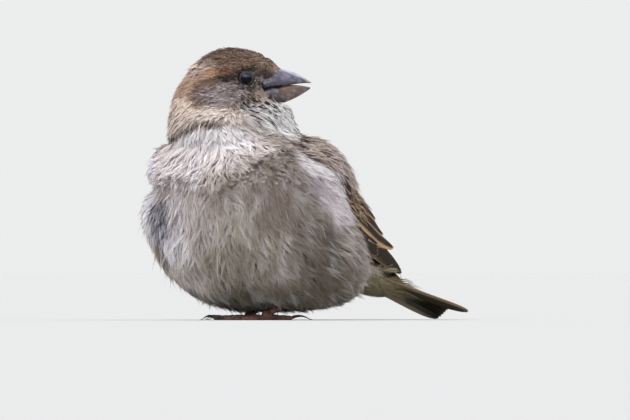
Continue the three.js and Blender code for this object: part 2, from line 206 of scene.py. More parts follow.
PLAIN = (172, 160, 151)
NECK = (208, 193, 183)
BACK_PATCHES = (
    # middle, radii, shade and strength of each patch, the same on either side
    ((0, 26, 56), (27, 24, 13), (182, 160, 146), 1.0),
    ((0, 36, 44), (17, 18, 16), (152, 132, 112), 1.0),
    ((13, 8, 57), (9, 9, 3.2), (226, 210, 209), 0.9),
)
FLANK_PATCHES = (
    # painted shade: the whole underside darker towards the floor
    ((12, -4, 5), (28, 27, 7), (112, 104, 86), 0.9),
    # painted shade in the furrow of the belly between the legs
    ((13, -21, 8), (5, 8, 5), (88, 78, 64), 0.8),
    # painted shade low on the flanks
    ((31, 4, 15), (9, 16, 9), (106, 97, 83), 0.9),
    ((32, -5, 27), (6, 9, 7), (134, 123, 112), 0.8),
    ((32, 12, 27), (6, 8, 6), (176, 164, 157), 0.85),
    ((28, -3, 50), (6, 6, 4.5), (246, 236, 241), 0.95),
    ((26, 4, 49), (5, 10, 4), (248, 240, 245), 0.95),
    ((30, -1, 41), (7, 7, 5), (190, 180, 186), 0.95),
    ((30, 8, 36), (7, 8, 6.5), (226, 216, 222), 0.95),
    ((25, 11, 45), (7, 9, 5), (246, 238, 243), 0.95),
    ((32.5, 3, 26), (4, 4.5, 4.5), (98, 90, 80), 0.85),
    ((32, 12, 21), (5, 5, 4), (176, 162, 152), 0.7),
    ((0, 44, 11), (16, 19, 9), (160, 148, 106), 0.9),
    ((20, -4, 55.5), (4, 4, 1.7), (122, 103, 92), 0.9),
    ((22.4, 0, 53), (4, 4, 2.2), (104, 84, 74), 0.95),
    ((24.5, 6, 50.5), (4, 5, 1.7), (140, 120, 107), 0.8),
)
BODY_PATCHES = (
    # belly and breast, which aren't the same on either side
    ((16, -28, 26), (15, 14, 12), (182, 171, 161), 0.8),
    ((12, -26, 17), (16, 14, 7), (164, 154, 142), 0.8),
    ((17, -30, 21), (6, 6, 5), (154, 144, 130), 0.6),
    ((-6, -28, 12), (12, 10, 7), (222, 212, 206), 0.85),
    ((8, -29, 14), (6, 6, 6), (168, 156, 144), 0.6),
    ((-1, -35, 34), (7, 6, 7), (212, 206, 210), 0.85),
    ((-7, -34, 24), (8, 8, 7), (232, 228, 238), 0.95),
    ((0, -35, 20), (5, 6, 6), (242, 235, 236), 0.8),
    ((28, -17, 36), (8, 11, 10), (146, 133, 124), 0.85),
    ((28, -18, 45), (6, 8, 6), (158, 142, 132), 0.85),
    # painted shadow in a notch under the pale ruff of the upper breast
    ((14, -34, 38), (6, 6, 5), (146, 133, 125), 0.8),
    ((19, -30, 44), (5, 7, 4), (190, 178, 170), 0.7),
    ((8, -34, 45), (6, 6, 4), (208, 196, 192), 0.7),
    ((10.5, -35, 40), (5, 6, 3.2), (222, 210, 204), 0.85),
    ((23.5, -26, 46), (4.5, 5, 3), (212, 198, 192), 0.75),
    ((-9, -33, 44), (8, 6, 5), (220, 210, 212), 0.8),
    ((0, -35, 44), (9, 6, 4), (250, 242, 246), 0.9),
    ((-12, -30, 52), (8, 8, 4.5), (220, 207, 204), 0.85),
    ((-1, -34, 49), (10, 6, 4), (244, 234, 237), 0.9),
    ((14, -31, 50), (9, 7, 3.6), (240, 230, 230), 0.85),
    ((24, -22, 54), (5, 6, 3.5), (226, 213, 210), 0.9),
    ((8, -29, 57), (20, 11, 5.5), (243, 236, 239), 1.0),
    ((-19, -29, 47), (5, 7, 6), (236, 230, 240), 0.9),
    ((-18, -31, 36), (5, 7, 8), (222, 220, 230), 0.9),
    ((-21, -31, 33), (5, 6, 9), (250, 246, 253), 1.0),
    ((7, -35, 31), (7, 7, 8), (218, 210, 208), 0.7),
)
HEAD_PATCHES = (
    # the same on either side of the head
    ((-1, 6, -1), (17, 12, 8), (136, 118, 108), 0.9),
    ((-15, 0, -4), (9, 14, 9), (176, 148, 130), 1.0),
    ((-13, 6, -14), (9, 12, 4.5), (206, 190, 182), 0.9),
    ((-5, 14, -12.5), (10, 10, 3), (198, 182, 174), 0.8),
    ((0, 0, 9), (17, 12, 7.5), (96, 72, 59), 1.0),
    ((-9.5, 6, 4.2), (4.5, 9, 3.2), (206, 184, 178), 0.85),
    ((10, 0, 6.5), (6, 7, 4), (150, 124, 107), 0.9),
    ((-15, 8, -8), (7, 13, 3), (228, 208, 194), 0.9),
    ((-7, 10, -10.8), (7, 10, 2.5), (234, 218, 208), 0.9),
    ((1, 12, -12.6), (7, 10, 2.2), (228, 214, 206), 0.85),
    ((-9, 8, 2), (3.2, 6, 1.6), (176, 146, 128), 0.8),
    ((-5.8, 9, 3), (3, 5, 1.8), (180, 136, 106), 0.85),
    ((-1.8, 9, 3.4), (3.4, 5, 1.4), (116, 78, 58), 0.9),
    ((-7.5, 9, -0.2), (4, 6, 1.3), (112, 88, 74), 0.85),
    ((-10.2, 9, -5.2), (3.2, 7, 4.2), (98, 70, 54), 0.95),
    ((-2.2, 10, -5.3), (7.8, 7, 4.3), (124, 111, 110), 0.95),
    ((3, 11, -8.4), (5, 6, 2.2), (122, 106, 100), 0.8),
    ((3.4, 10, -3.2), (4.5, 5, 2.2), (92, 78, 76), 0.85),
    ((8.2, 8, -6.2), (4.4, 6, 2.6), (168, 144, 126), 0.85),
    ((13, 5, -12.5), (12, 12, 6.5), (250, 245, 246), 1.0),
    ((11, 6, 0.8), (4, 6, 3.6), (62, 52, 48), 1.0),
    ((4.6, 9.5, 1.0), (4.8, 4, 4.1), (50, 40, 37), 1.0),
    ((9.6, 7.3, -0.5), (0.6, 5, 2.4), (170, 156, 150), 0.55),
    ((6, 8, 4.6), (3.4, 4, 1.1), (62, 46, 40), 0.85),
    ((-1.6, 9, 1.0), (4.2, 4, 1.5), (34, 27, 25), 0.98),
    ((-12, 5, 5.4), (1.1, 5, 0.9), (232, 210, 192), 0.8),
)
HEAD_STREAKS = (
    # stretch, size and shift of the clouds that break it up, and where they start and end; then as above
    ((0.4, 1, 1), 0.8, 0, (0.05, 0.5), (-1, 0, 8), (17, 14, 8), (84, 62, 50), 0.7),
    ((0.4, 1, 1), 0.9, 15, (0.15, 0.6), (-2, 0, 9), (17, 14, 7), (172, 146, 128), 0.5),
    ((0.5, 1, 1), 1.0, 5, (0.05, 0.55), (-10, 6, -1), (8, 9, 7), (112, 82, 64), 0.45),
    ((0.4, 1, 1.2), 0.7, 9, (0.15, 0.6), (-2, 9.5, -4.6), (9, 6, 4.5), (198, 187, 188), 0.7),
    ((0.4, 1, 1.3), 0.7, 29, (0.1, 0.5), (-3, 9.5, -4.8), (9, 6, 4.5), (92, 78, 76), 0.6),
    ((1, 1, 1), 0.8, 19, (0.1, 0.5), (9, 7, 0), (5, 6, 4), (62, 52, 50), 0.6),
    ((1, 1, 1), 0.7, 23, (0.1, 0.5), (6, 9, -1), (6, 6, 4), (176, 164, 158), 0.5),
)
# middle and radii of the slate grey patch
SLATE = ((-10.6, -35, 34), (4.2, 6, 6.2))


def over_fold(places):
    """The height of places over the fold where the neck's feathers end on those of the breast."""
    across = places @ ACROSS_VIEW
    return places[:, 2] - (57 + 5 * ease(across, -29, -18))


def crease(places):
    """How strong that fold is at each place, running out under the cheek and at the shoulders: the coat is
    pressed in by it and it is painted as shade.
    """
    x, y, z = places.T
    ends = (1 - ease(y, -16, -8)) * (1 - ease(x, 8, 16))
    return bell(over_fold(places), 0.95) * ends


def over_hem(places):
    """The height over the hem where the loose feathers of the breast end on those of the belly."""
    x = places[:, 0]
    return places[:, 2] - (42.5 - 3 * bell(x - 12, 4) + 9 * ease(x, 15, 24))


def markings(places):
    """The colour of the bird at each place, in millimetres, with painted shade in its folds and low on its
    body.
    """
    head = from_head(places)
    fore, beside, over = head.T
    colour = np.tile(as_light(PLAIN), (len(places), 1))

    def lay(where, shade):
        colour[:] += where[:, None] * (as_light(shade) - colour)

    def lay_patches(patches, places, edge):
        for middle, radii, shade, strength in patches:
            lay(within(places, middle, radii, edge) * strength, shade)

    either_side = np.abs(places) * (1, 0, 0) + places * (0, 1, 1)
    lay_patches(BACK_PATCHES, either_side, 0.15)
    lay_patches(FLANK_PATCHES, either_side, 0.4)
    lay_patches(BODY_PATCHES, places, 0.5)
    lay(ease(over_fold(places), -0.6, 1.2) * (1 - ease(places[:, 1], 0, 8)), NECK)
    lay_patches(HEAD_PATCHES, head, 0.35)

    # dark and pale streaks along the lie of crown, nape, ear coverts and face, then of the neck
    for stretch, size, shift, (start, end), middle, radii, shade, strength in HEAD_STREAKS:
        streaks = ease(clouds(head * stretch, size, shift), start, end)
        lay(streaks * within(head, middle, radii) * strength, shade)
    slant = np.stack((fore * 0.8 + over * 0.6, beside * 0.6, (over * 0.8 - fore * 0.6) * 0.4), axis=1)
    low = within(head, (-12, 7, -13), (10, 12, 6))
    lay(ease(clouds(slant * (0.5, 1, 2.4), 1.2, 11), 0.05, 0.6) * low * 0.3, (156, 136, 124))
    # small black marks where the throat ends on the fold under it
    spots = ease(clouds(places, 1.2, 13), 0.3, 0.5)
    lay(spots * within(head, (0, 9, -14), (8, 12, 2)) * 0.9, (44, 36, 34))
    # painted shade in the fold, and a painted shadow just under the hem where the loose feathers of the
    # breast end on the belly
    lay(crease(places) * 0.85, (78, 60, 52))
    below = bell(over_hem(places) + 1, 1.3) * within(places, (3, -34, 43), (26, 14, 14))
    lay(below * 0.55, (116, 102, 94))
    buff = ease(clouds(places * (1, 1, 0.5), 1.6, 27), 0.1, 0.6) * within(places, (2, -26, 46), (34, 20, 12))
    lay(buff * 0.35, (150, 130, 116))
    # locks of the belly that lie together, paler and darker by turns
    locks = clouds(places * (1, 1, 0.32), 2.4, 31)
    on_body = ease(places[:, 1], 26, 14) * (1 - ease(places[:, 2], 40, 62))
    lay(ease(locks, 0.05, 0.6) * on_body * 0.3, (126, 113, 103))
    lay(ease(-locks, 0.05, 0.6) * on_body * 0.3, (240, 234, 238))
    # a loose patch of slate grey low on the breast, where the down shows
    slate = within(places, *SLATE, 0.3) * ease(clouds(places * (1, 1, 0.5), 1.4, 17), -0.1, 0.2)
    lay(slate * 0.65, (74, 74, 90))
    return colour


# ---------------------------------------------------------------- skin
# In life one hide from the bill to the tail, with every feather rooted in it. One shell is drawn
# over head, neck, trunk and the wings' roots and sunk by the depth of the coat, which these tables
# give for places all over the bird with the length and width of the feathers there.
HEAD_COAT = (
    # forward, side, up: depth, length, width
    ((13, 0, 4.5), (0.5, 1.8, 0.8)),
    ((10, 5, -1), (0.4, 1.5, 0.7)),
    ((5, 9, 4.5), (0.5, 2.0, 0.8)),
    ((4.4, 9, -2), (0.4, 1.6, 0.7)),
    ((4, 0, 12), (0.9, 3.2, 1.2)),
    ((-7, 0, 10), (1.2, 3.8, 1.4)),
    ((-11, 6, 3), (1.3, 4.0, 1.5)),
    ((-14, 0, -4), (1.8, 5.0, 1.8)),
    ((-2, 9, -5), (0.8, 3.2, 1.2)),
    ((12, 0, -8), (0.7, 2.2, 0.9)),
    ((10, 5, -12), (1.4, 3.4, 1.2)),
)
BODY_COAT = (
    # left, back, up: the same, and mirrored
    ((0, -28, 58), (2.6, 6.0, 1.8)),
    ((16, -14, 60), (2.6, 6.0, 1.8)),
    ((0, 6, 60), (2.2, 6.0, 2.2)),
    ((0, -37, 42), (4.0, 9.0, 2.4)),
    ((26, -22, 45), (3.8, 9.0, 2.4)),
    ((0, -36, 22), (4.5, 11, 2.6)),
    ((32, 4, 25), (4.4, 11, 2.6)),
    ((0, 0, 4), (2.6, 8.0, 2.2)),
    ((0, 30, 10), (2.6, 9.0, 2.4)),
    ((0, 15, 58), (2.2, 8.0, 3.0)),
    ((18, 8, 52), (2.4, 9.0, 3.4)),
    ((0, 38, 40), (2.2, 8.0, 3.0)),
    ((0, 44, 18), (1.8, 9.0, 2.8)),
)
coat_places, coat_sizes = [], []
for (left, back, up), sizes in BODY_COAT:
    for way in {left, -left}:
        coat_places.append((way, back, up))
        coat_sizes.append(sizes)
for (forward, side, up), sizes in HEAD_COAT:
    for way in {side, -side}:
        coat_places.append(HEAD + FORWARD * forward + TO_LENS * way + UP * up)
        coat_sizes.append(sizes)
coat_places, coat_sizes = np.array(coat_places, float), np.array(coat_sizes, float)


def coat(places):
    """Depth, feather length and feather width at each place."""
    near = ((places[:, None] - coat_places) ** 2).sum(axis=2)
    share = 1 / (near + 4) ** 2
    return share @ coat_sizes / share.sum(axis=1)[:, None]


HORN_SLOPE = 1.054


def on_horn(head):
    """How far places on the head are inside the wedge of bare horn at the root of the bill."""
    fore, _, over = head.T
    return np.minimum(np.minimum(fore - 9.3, HORN_SLOPE * fore - 12.6 - over), over - 2.9 + 0.6 * fore)


def relax(shape, rounds):
    """Evens a mesh out, drawing each vertex halfway to its neighbours at every round."""
    for _ in range(rounds):
        bmesh.ops.smooth_vert(
            shape, verts=shape.verts, factor=0.5, use_axis_x=True, use_axis_y=True, use_axis_z=True
        )


def shell(name, nodes, voxel, rounds, ends_at=None):
    """One closed mesh over CAD solids that lie a thin gap apart, with voxels of the given size in
    millimetres. The wings end at a plane, if it is given as a place and a way."""
    grown = 0.4 * MM
    joined = bmesh.new()
    for node in nodes:
        solid = bmesh.new()
        solid.from_mesh(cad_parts[node].data)
        bmesh.ops.remove_doubles(solid, verts=solid.verts, dist=1e-6)
        if ends_at is not None and node.startswith("wing"):
            place, way = ends_at
            everything = solid.verts[:] + solid.edges[:] + solid.faces[:]
            bmesh.ops.bisect_plane(
                solid, geom=everything, plane_co=(place + FEET) * MM, plane_no=way, clear_outer=True
            )
            bmesh.ops.holes_fill(solid, edges=solid.edges)
        solid.normal_update()
        for vert in solid.verts:
            vert.co += vert.normal * grown
        swollen = bpy.data.meshes.new("swollen")
        solid.to_mesh(swollen)
        solid.free()
        joined.from_mesh(swollen)
        bpy.data.meshes.remove(swollen)
    made = finished(name, joined, bpy.data.materials.new("bare"))
    remesh = made.modifiers.new("one shell", "REMESH")
    remesh.mode = "VOXEL"
    remesh.voxel_size = voxel * MM
    whole = bpy.data.meshes.new_from_object(made.evaluated_get(bpy.context.evaluated_depsgraph_get()))
    bpy.data.objects.remove(made)
    smooth = bmesh.new()
    smooth.from_mesh(whole)
    bpy.data.meshes.remove(whole)
    bmesh.ops.triangulate(smooth, faces=smooth.faces)
    relax(smooth, rounds)
    smooth.normal_update()
    for vert in smooth.verts:
        vert.co -= vert.normal * grown
    return smooth


def measured(mesh):
    """The vertices of a bmesh and their normals, in millimetres from between the feet."""
    mesh.normal_update()
    points = np.array([vert.co[:] for vert in mesh.verts]) / MM - FEET
    return points, np.array([vert.normal[:] for vert in mesh.verts])


WING_DROP, WING_BED_LENGTH = 25, 48
WING_BED_DEPTH, BILL_BED_DEPTH = 3.6, 2.6
# how much darker the skin is painted, as shade in the gaps of the coat
SKIN_PAINTED_SHADE = 0.55
SHOULDER = np.array((0, -12, 43.3))
drop = math.radians(WING_DROP)
WING_ALONG = np.array((0, math.cos(drop), -math.sin(drop)))
WING_UP = np.array((0, math.sin(drop), math.cos(drop)))
BODY_NODES = ("head", "neck", "trunk", "wing_left", "wing_right")
wing_bed_end = (SHOULDER + WING_ALONG * WING_BED_LENGTH, WING_ALONG)
skin_shape = shell("skin", BODY_NODES, voxel=0.9, rounds=6, ends_at=wing_bed_end)
skin_points, skin_normals = measured(skin_shape)
under_wing = within(np.abs(skin_points), (26, 8, 36), (12, 26, 15), edge=0.2)[:, None]
bill_bed = ease(on_horn(from_head(skin_points)), -0.5, 0.7)[:, None]
beds = np.maximum(WING_BED_DEPTH * under_wing, BILL_BED_DEPTH * bill_bed)
skin_points = skin_points - skin_normals * np.maximum(coat(skin_points)[:, :1], beds)
for vert, point in zip(skin_shape.verts, skin_points):
    vert.co = (point + FEET) * MM
relax(skin_shape, rounds=3)


def marked_surface(name, colour, roughness, shine):
    """A finish that takes its colour from the one that mark stores on the piece."""
    material, shader, nodes, links = surface(name, colour, roughness)
    tune(shader, Specular_IOR_Level=shine)
    stored = nodes.new("ShaderNodeAttribute")
    stored.attribute_name = "markings"
    links.new(stored.outputs["Color"], shader.inputs["Base Color"])
    return material, shader, nodes, links


plumage, shader, _, _ = marked_surface("plumage", (0.5, 0.45, 0.4), 0.85, 0.2)
tune(shader, Sheen_Weight=0.12, Sheen_Roughness=0.6)


def mark(piece, colours):
    """Stores a colour for each vertex."""
    layer = piece.data.color_attributes.new("markings", "FLOAT_COLOR", "POINT")
    full = np.ones((len(colours), 4), np.float32)
    full[:, :3] = colours
    layer.data.foreach_set("color", full.ravel())


def own_points(piece):
    """The vertices of a piece, in millimetres from between the feet."""
    points = np.empty(len(piece.data.vertices) * 3)
    piece.data.vertices.foreach_get("co", points)
    return points.reshape(-1, 3) / MM - FEET


skin = finished("skin", skin_shape, plumage)
skin_points = own_points(skin)
# the skin is painted darker than the feathers, as shade in the gaps between them
mark(skin, markings(skin_points) * SKIN_PAINTED_SHADE)
skin.data.uv_layers.new(name="OFBake")
bpy.context.view_layer.objects.active = skin
skin.select_set(True)
bpy.ops.object.mode_set(mode="EDIT")
bpy.ops.mesh.select_all(action="SELECT")
bpy.ops.uv.smart_project(angle_limit=math.radians(66), island_margin=0.004)
bpy.ops.object.mode_set(mode="OBJECT")
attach(skin, "root")
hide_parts("head", "neck", "trunk")

# ---------------------------------------------------------------- eyes
# A dark, wet ball in the head's socket, with bare lids as a dark band over it and a ring of small
# grey scales round them. A bluish reflection is painted high on the front of the ball.
EYE_RADIUS = 2.6
LID_FROM, LID_TO = 40, 82
RING_RADIUS, RING_HEIGHT, RING_BEADS = 3.0, 2.0, 25


def tube(shape, place, rounds, sides):
    """A grid rolled into a tube, with its seam and closed ends merged. place is given 0 to 1
    along it and the turn round it, in radians, and gives millimetres from between the feet."""
    verts = bmesh.ops.create_grid(shape, x_segments=sides, y_segments=rounds, size=0.5)["verts"]
    for vert in verts:
        vert.co = (place(vert.co.y + 0.5, (vert.co.x + 0.5) * 2 * math.pi) + FEET) * MM
    bmesh.ops.remove_doubles(shape, verts=verts, dist=1e-6)
    bmesh.ops.recalc_face_normals(shape, faces=shape.faces)


def relief(finish, place, texture, strength, depth):
    """Raises a finish in its shading alone, by a texture that is worked out at each place."""
    _, shader, nodes, links = finish
    bump = nodes.new("ShaderNodeBump")
    tune(bump, Strength=strength, Distance=depth)
    links.new(place, texture.inputs["Vector"])
    links.new(texture.outputs["Fac"], bump.inputs["Height"])
    links.new(bump.outputs["Normal"], shader.inputs["Normal"])


def grained(name, roughness, shine=0.5, coat_weight=0.0, bump=0.0, grain=2000):
    """A marked finish with a fine grain."""
    finish = marked_surface(name, (0.1, 0.1, 0.1), roughness, shine)
    material, shader, nodes, _ = finish
    tune(shader, Coat_Weight=coat_weight)
    noise = nodes.new("ShaderNodeTexNoise")
    tune(noise, Scale=grain)
    relief(finish, nodes.new("ShaderNodeTexCoord").outputs["Object"], noise, bump, 0.0001)
    return material


wet_eye = grained("wet_eye", 0.05, 0.12)
bare_lid = grained("bare_lid", 0.55, bump=0.5)

for side, hand in (("right", 1), ("left", -1)):
    way, level = TO_LENS * hand, FORWARD * hand
    low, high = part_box(f"eye_{side}")
    middle = (np.array(low) + np.array(high)) / 2 / MM - FEET + FORWARD * 0.2 - UP * 0.4
    ball_shape = bmesh.new()
    bmesh.ops.create_uvsphere(ball_shape, u_segments=40, v_segments=24, radius=EYE_RADIUS * MM)
    turn = Vector((0, 0, 1)).rotation_difference(Vector(way)).to_matrix()
    bmesh.ops.rotate(ball_shape, verts=ball_shape.verts, matrix=turn)
    bmesh.ops.translate(ball_shape, verts=ball_shape.verts, vec=(middle + FEET) * MM)
    ball = finished(f"eyeball_{side}", ball_shape, wet_eye)
    points = own_points(ball)
    pupil = ease((points - middle) @ way / EYE_RADIUS, 0.76, 0.84)
    # a painted reflection, bluish, high on the front of the ball
    painted_reflection = within(points, middle + way * 2.3 + UP * 0.95, (1.2, 1.2, 0.5), 0.5)
    shade = as_light((14, 10, 9)) * (1 - pupil[:, None]) + as_light((5, 5, 8)) * pupil[:, None]
    mark(ball, shade + painted_reflection[:, None] * as_light((74, 80, 112)) * 0.7)
    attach(ball, "root")
    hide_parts(f"eye_{side}")

    def lid(along, turn):
        around = 2 * math.pi * along
        angle = math.radians((LID_FROM + LID_TO) / 2 - (LID_TO - LID_FROM) / 2 * math.cos(turn))
        folds = 0.05 * math.cos(26 * around) * max(math.sin(turn), 0)
        reach = EYE_RADIUS + 0.1 + 0.14 * math.sin(turn) + folds
        out = level * math.cos(around) + UP * math.sin(around) * 0.96
        return middle + out * reach * math.sin(angle) + way * reach * math.cos(angle)

    def ring(along, turn):
        around = 2 * math.pi * along
        beads = math.cos(RING_BEADS * around + 2 * math.sin(3 * around))
        bead = 0.3 + 0.7 * beads + 0.5 * math.sin(7 * around + 2)
        before = hand * math.cos(around)
        size = 0.3 * min(max(bead * (0.5 - 0.5 * math.sin(around) + 0.4 * before), 0.05), 1)
        reach = RING_RADIUS + 0.15 * math.sin(5 * around + 1) - size * math.cos(turn)
        height = RING_HEIGHT - 0.35 * before + size * 0.8 * math.sin(turn)
        out = level * math.cos(around) * reach + UP * math.sin(around) * reach * 0.92
        return middle + out + way * height

    for name, around_eye, rounds, shade in (
        ("lids", lid, 110, (46, 38, 36)),
        ("eye_ring", ring, 216, (136, 126, 122)),
    ):
        lid_shape = bmesh.new()
        tube(lid_shape, around_eye, rounds, 10)
        lids = finished(f"{name}_{side}", lid_shape, bare_lid)
        points = own_points(lids)
        outward = np.linalg.norm(np.cross(points - middle, way), axis=1)
        grain = 0.5 + 1.3 * ease(clouds(points, 0.35), -0.1, 0.5)
        mark(lids, as_light(shade) * (grain * (0.1 + 0.9 * ease(outward, 1.6, 2.1)))[:, None])
        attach(lids, "root")

# ---------------------------------------------------------------- bill
# Two halves of horn over bone, the upper one lilac grey and dark at its root, the lower one pinkish
# brown, with brown cutting edges that part a little towards the tip. That brown is partly painted
# shade under the upper half's edge, and a pale line along the upper half's ridge is a painted highlight.
BILL_ROOT, BILL_TIP, BILL_HALF_WIDTH = 9.5, 25.4, 4.3
smooth_horn = grained("bill_horn", 0.38, coat_weight=0.15, bump=0.25, grain=900)


def on_bill(x, across, up):
    return HEAD + FORWARD * x - TO_LENS * across + UP * up


def bill_part(x):
    return (x - BILL_ROOT) / (BILL_TIP - BILL_ROOT)


def bill_width(x):
    return BILL_HALF_WIDTH * max(1 - 0.95 * bill_part(x), 0) ** 0.8


def culmen(x):
    return 4.75 - 4.9 * bill_part(x) ** 2.5


def gape(x):
    """How far the corner of the mouth reaches out to the face."""
    return 4.4 * (1 - ease(x, 9.8, 15.5))


def upper_edge(x):
    return -0.3 - 1.4 * (1 - ease(x, 12, 24)) - 1.2 * (1 - ease(x, 8.5, 13))


def lower_edge(x):
    return upper_edge(x) + 0.05 - 1.45 * ease(x, 17.5, 26.5)


def gonys(x):
    return -7.2 + 5.4 * max((x - 13) / (BILL_TIP - 13), 0) ** 1.7


def bill_half(end, top, bottom, girth, keel):
    """One half: round over its ridge, which is its upper side if keel is 1 and its lower one if it
    is -1, and squarer where the two halves close on each other."""

    def place(along, turn):
        along = min(max(along, 0), 1)
        x = BILL_ROOT + (end - BILL_ROOT) * (1 - (1 - along) ** 1.5)
        high, low = top(x), bottom(x)
        across, up = math.cos(turn), math.sin(turn)
        square = 0.45 if up * keel < 0 else 1.12
        across = math.copysign(abs(across) ** square, across)
        closed = 0 if along in (0, 1) else 1
        wide = girth(x) + gape(x) * ease(-up * keel, -0.1 if keel > 0 else -0.9, 0.5)
        return on_bill(x, across * wide * closed, (high + low) / 2 + closed * up * (high - low) / 2)

    shape = bmesh.new()
    tube(shape, place, 40, 28)
    return shape


def lower_width(x):
    return 0.93 * bill_width(x)


upper_shape = bill_half(BILL_TIP, culmen, upper_edge, bill_width, 1)
lower_shape = bill_half(BILL_TIP - 0.4, lower_edge, gonys, lower_width, -1)
upper = finished("bill_upper_horn", upper_shape, smooth_horn)
lower = finished("bill_lower_horn", lower_shape, smooth_horn)
for piece, node, slot, main, root, edge in (
    (upper, "bill_upper", "horn", (114, 109, 134), (62, 60, 78), (96, 60, 40)),
    (lower, "bill_lower", "pale_horn", (106, 83, 73), (70, 66, 76), (128, 96, 68)),
):
    place = from_head(own_points(piece))
    x, up = place[:, 0], place[:, 2]
    colours = np.tile(as_light(main), (len(x), 1))
    cut = upper_edge(x) if piece is upper else lower_edge(x)
    for share, shade in (
        (1 - ease(x, 13, 18), root),
        (0.75 * (1 - ease(np.abs(up - cut), 0.5, 2.4)) * (piece is upper), (74, 76, 100)),
        # brown along the cutting edges, partly their own colour and partly painted shade under the upper
        # half's edge
        (1 - ease(np.abs(up - cut), 0.15, 0.6), edge),
        ((1 - ease(np.abs(up - cut), 0.3, 1.0)) * (1 - ease(x, 14, 19)), (34, 24, 22)),
        (0.7 * (1 - ease(x, 11.5, 13.5)), (62, 58, 66)),
        # painted highlight along the ridge of the upper half
        (0.75 * (1 - ease(culmen(np.maximum(x, BILL_ROOT)) - up, 0.3, 1.1)), (204, 200, 216)),
        (0.5 * ease(x, 22, 25.4), (96, 86, 92)),
        (0.6 * ease(clouds(place * (0.4, 1, 1), 0.7), -0.1, 0.5), root),
        (0.35 * ease(clouds(place * (0.25, 1, 1), 0.45, 7), 0.1, 0.5), (164, 154, 160)),
    ):
        colours += share[:, None] * (as_light(shade) - colours)
    mark(piece, colours)
    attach(piece, "root")
    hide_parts(node)

# ---------------------------------------------------------------- legs and feet
# Bare shanks and toes in pinkish brown scaled skin. Each toe has pads under its joints and broad
# scales over them, and a dark curved claw grows out of its end.
TOES = (
    # name, length, claw's length, spread in degrees, radius
    ("inner", 10.0, 4.2, -25, 0.80),
    ("middle", 14.5, 5.0, 0, 0.90),
    ("outer", 10.5, 4.2, 24, 0.80),
    ("hind", 8.5, 6.5, 180, 0.95),
)
# left, back, heading in degrees, side
FOOT_PLACES = {"left": (8.5, -4.8, 30, 1), "right": (-7.5, 3.5, 8, -1)}
HUB_HEIGHT, HUB_RADIUS = 1.5, 1.75
SHANK_RUN, SHANK_RISE, SHANK_RADIUS = 11.5, 6.5, 1.05
LEG_PALE, LEG_DARK, CLAW_DARK = as_light((150, 106, 92)), as_light((104, 74, 64)), as_light((52, 50, 56))
scaled_leg = grained("scaled_leg", 0.5, bump=0.4, grain=1500)
claw_horn = grained("claw_horn", 0.3, coat_weight=0.3, bump=0.15)

for side, (foot_x, foot_y, heading, hand) in FOOT_PLACES.items():
    hub = np.array((foot_x, foot_y, 0.0))
    facing = np.array((-math.sin(math.radians(heading)), -math.cos(math.radians(heading)), 0.0))
    foot_shape, claw_shape, shank_shape = bmesh.new(), bmesh.new(), bmesh.new()
    for _, length, claw_length, spread, radius in TOES:
        turned = Matrix.Rotation(math.radians(spread * hand), 3, "Z") @ Vector(facing)
        way = np.array(turned)
        beside = np.array((-way[1], way[0], 0.0))

        def toe(along, turn):
            pads = 1 + 0.09 * math.cos(6 * math.pi * along)
            scales = 1 + 0.07 * ((along * 11) % 1) * max(math.sin(turn), 0)
            round_end = math.sqrt(max(1 - max(along - 0.9, 0) ** 2 / 0.0101, 0))
            size = radius * (1.08 - 0.3 * along) * pads * round_end
            middle = 0.84 * radius * (1.08 - 0.3 * along)
            height = max(middle + size * scales * math.sin(turn), 0.02)
            return hub + way * along * length + beside * size * scales * math.cos(turn) + UP * height

        def claw(along, turn):
            size = (0.62 - 0.56 * along**0.8) * (0 if along <= 0 or along >= 1 else 1)
            hook = 0.8 * math.sin(math.pi * min(along * 1.15, 1)) + 0.75 - 0.55 * along
            side_to_side = beside * math.cos(turn) * size * 0.7
            start = hub + way * (length - 0.35 + along * (claw_length + 0.6))
            return start + side_to_side + UP * max(hook + math.sin(turn) * size, 0.02)

        tube(foot_shape, toe, 55, 16)
        tube(claw_shape, claw, 22, 12)
    ball_of_foot = bmesh.ops.create_uvsphere(
        foot_shape, u_segments=24, v_segments=16, radius=HUB_RADIUS * MM
    )["verts"]
    for vert in ball_of_foot:
        vert.co += Vector((hub + UP * HUB_HEIGHT + FEET) * MM)
        vert.co.z = max(vert.co.z, 0.00002)
    sideways = np.array((-facing[1], facing[0], 0.0))
    low = hub + UP * (HUB_HEIGHT + 0.3)
    high = hub - facing * SHANK_RUN + UP * (HUB_HEIGHT + SHANK_RISE)
    lean = (high - low) / np.linalg.norm(high - low)
    over = np.cross(lean, sideways)

    def shank(along, turn):
        scales = 1 + 0.06 * ((along * 8) % 1) * max(-math.sin(turn), 0)
        size = SHANK_RADIUS * (1.08 - 0.22 * math.sin(math.pi * along)) * scales
        round_off = sideways * math.cos(turn) * size * 0.85 + over * math.sin(turn) * size
        return low + (high - low) * along + round_off

    tube(shank_shape, shank, 40, 16)
    for name, shape, finish, replaced, slot in (
        (f"toes_{side}", foot_shape, scaled_leg, (f"foot_{side}",), "scaled_skin"),
        (f"shank_{side}_skin", shank_shape, scaled_leg, (f"shank_{side}",), "scaled_skin"),
        (f"claws_{side}", claw_shape, claw_horn, [f"claw_{side}_{toe[0]}" for toe in TOES], "claw"),
    ):
        piece = finished(name, shape, finish)
        points = own_points(piece)
        mottle = ease(clouds(points, 0.9), -0.3, 0.7)[:, None]
        if slot == "claw":
            mark(piece, CLAW_DARK + mottle * 0.03)
        else:
            mark(piece, LEG_PALE + mottle * (LEG_DARK - LEG_PALE))
        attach(piece, "root")
        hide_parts(*replaced)

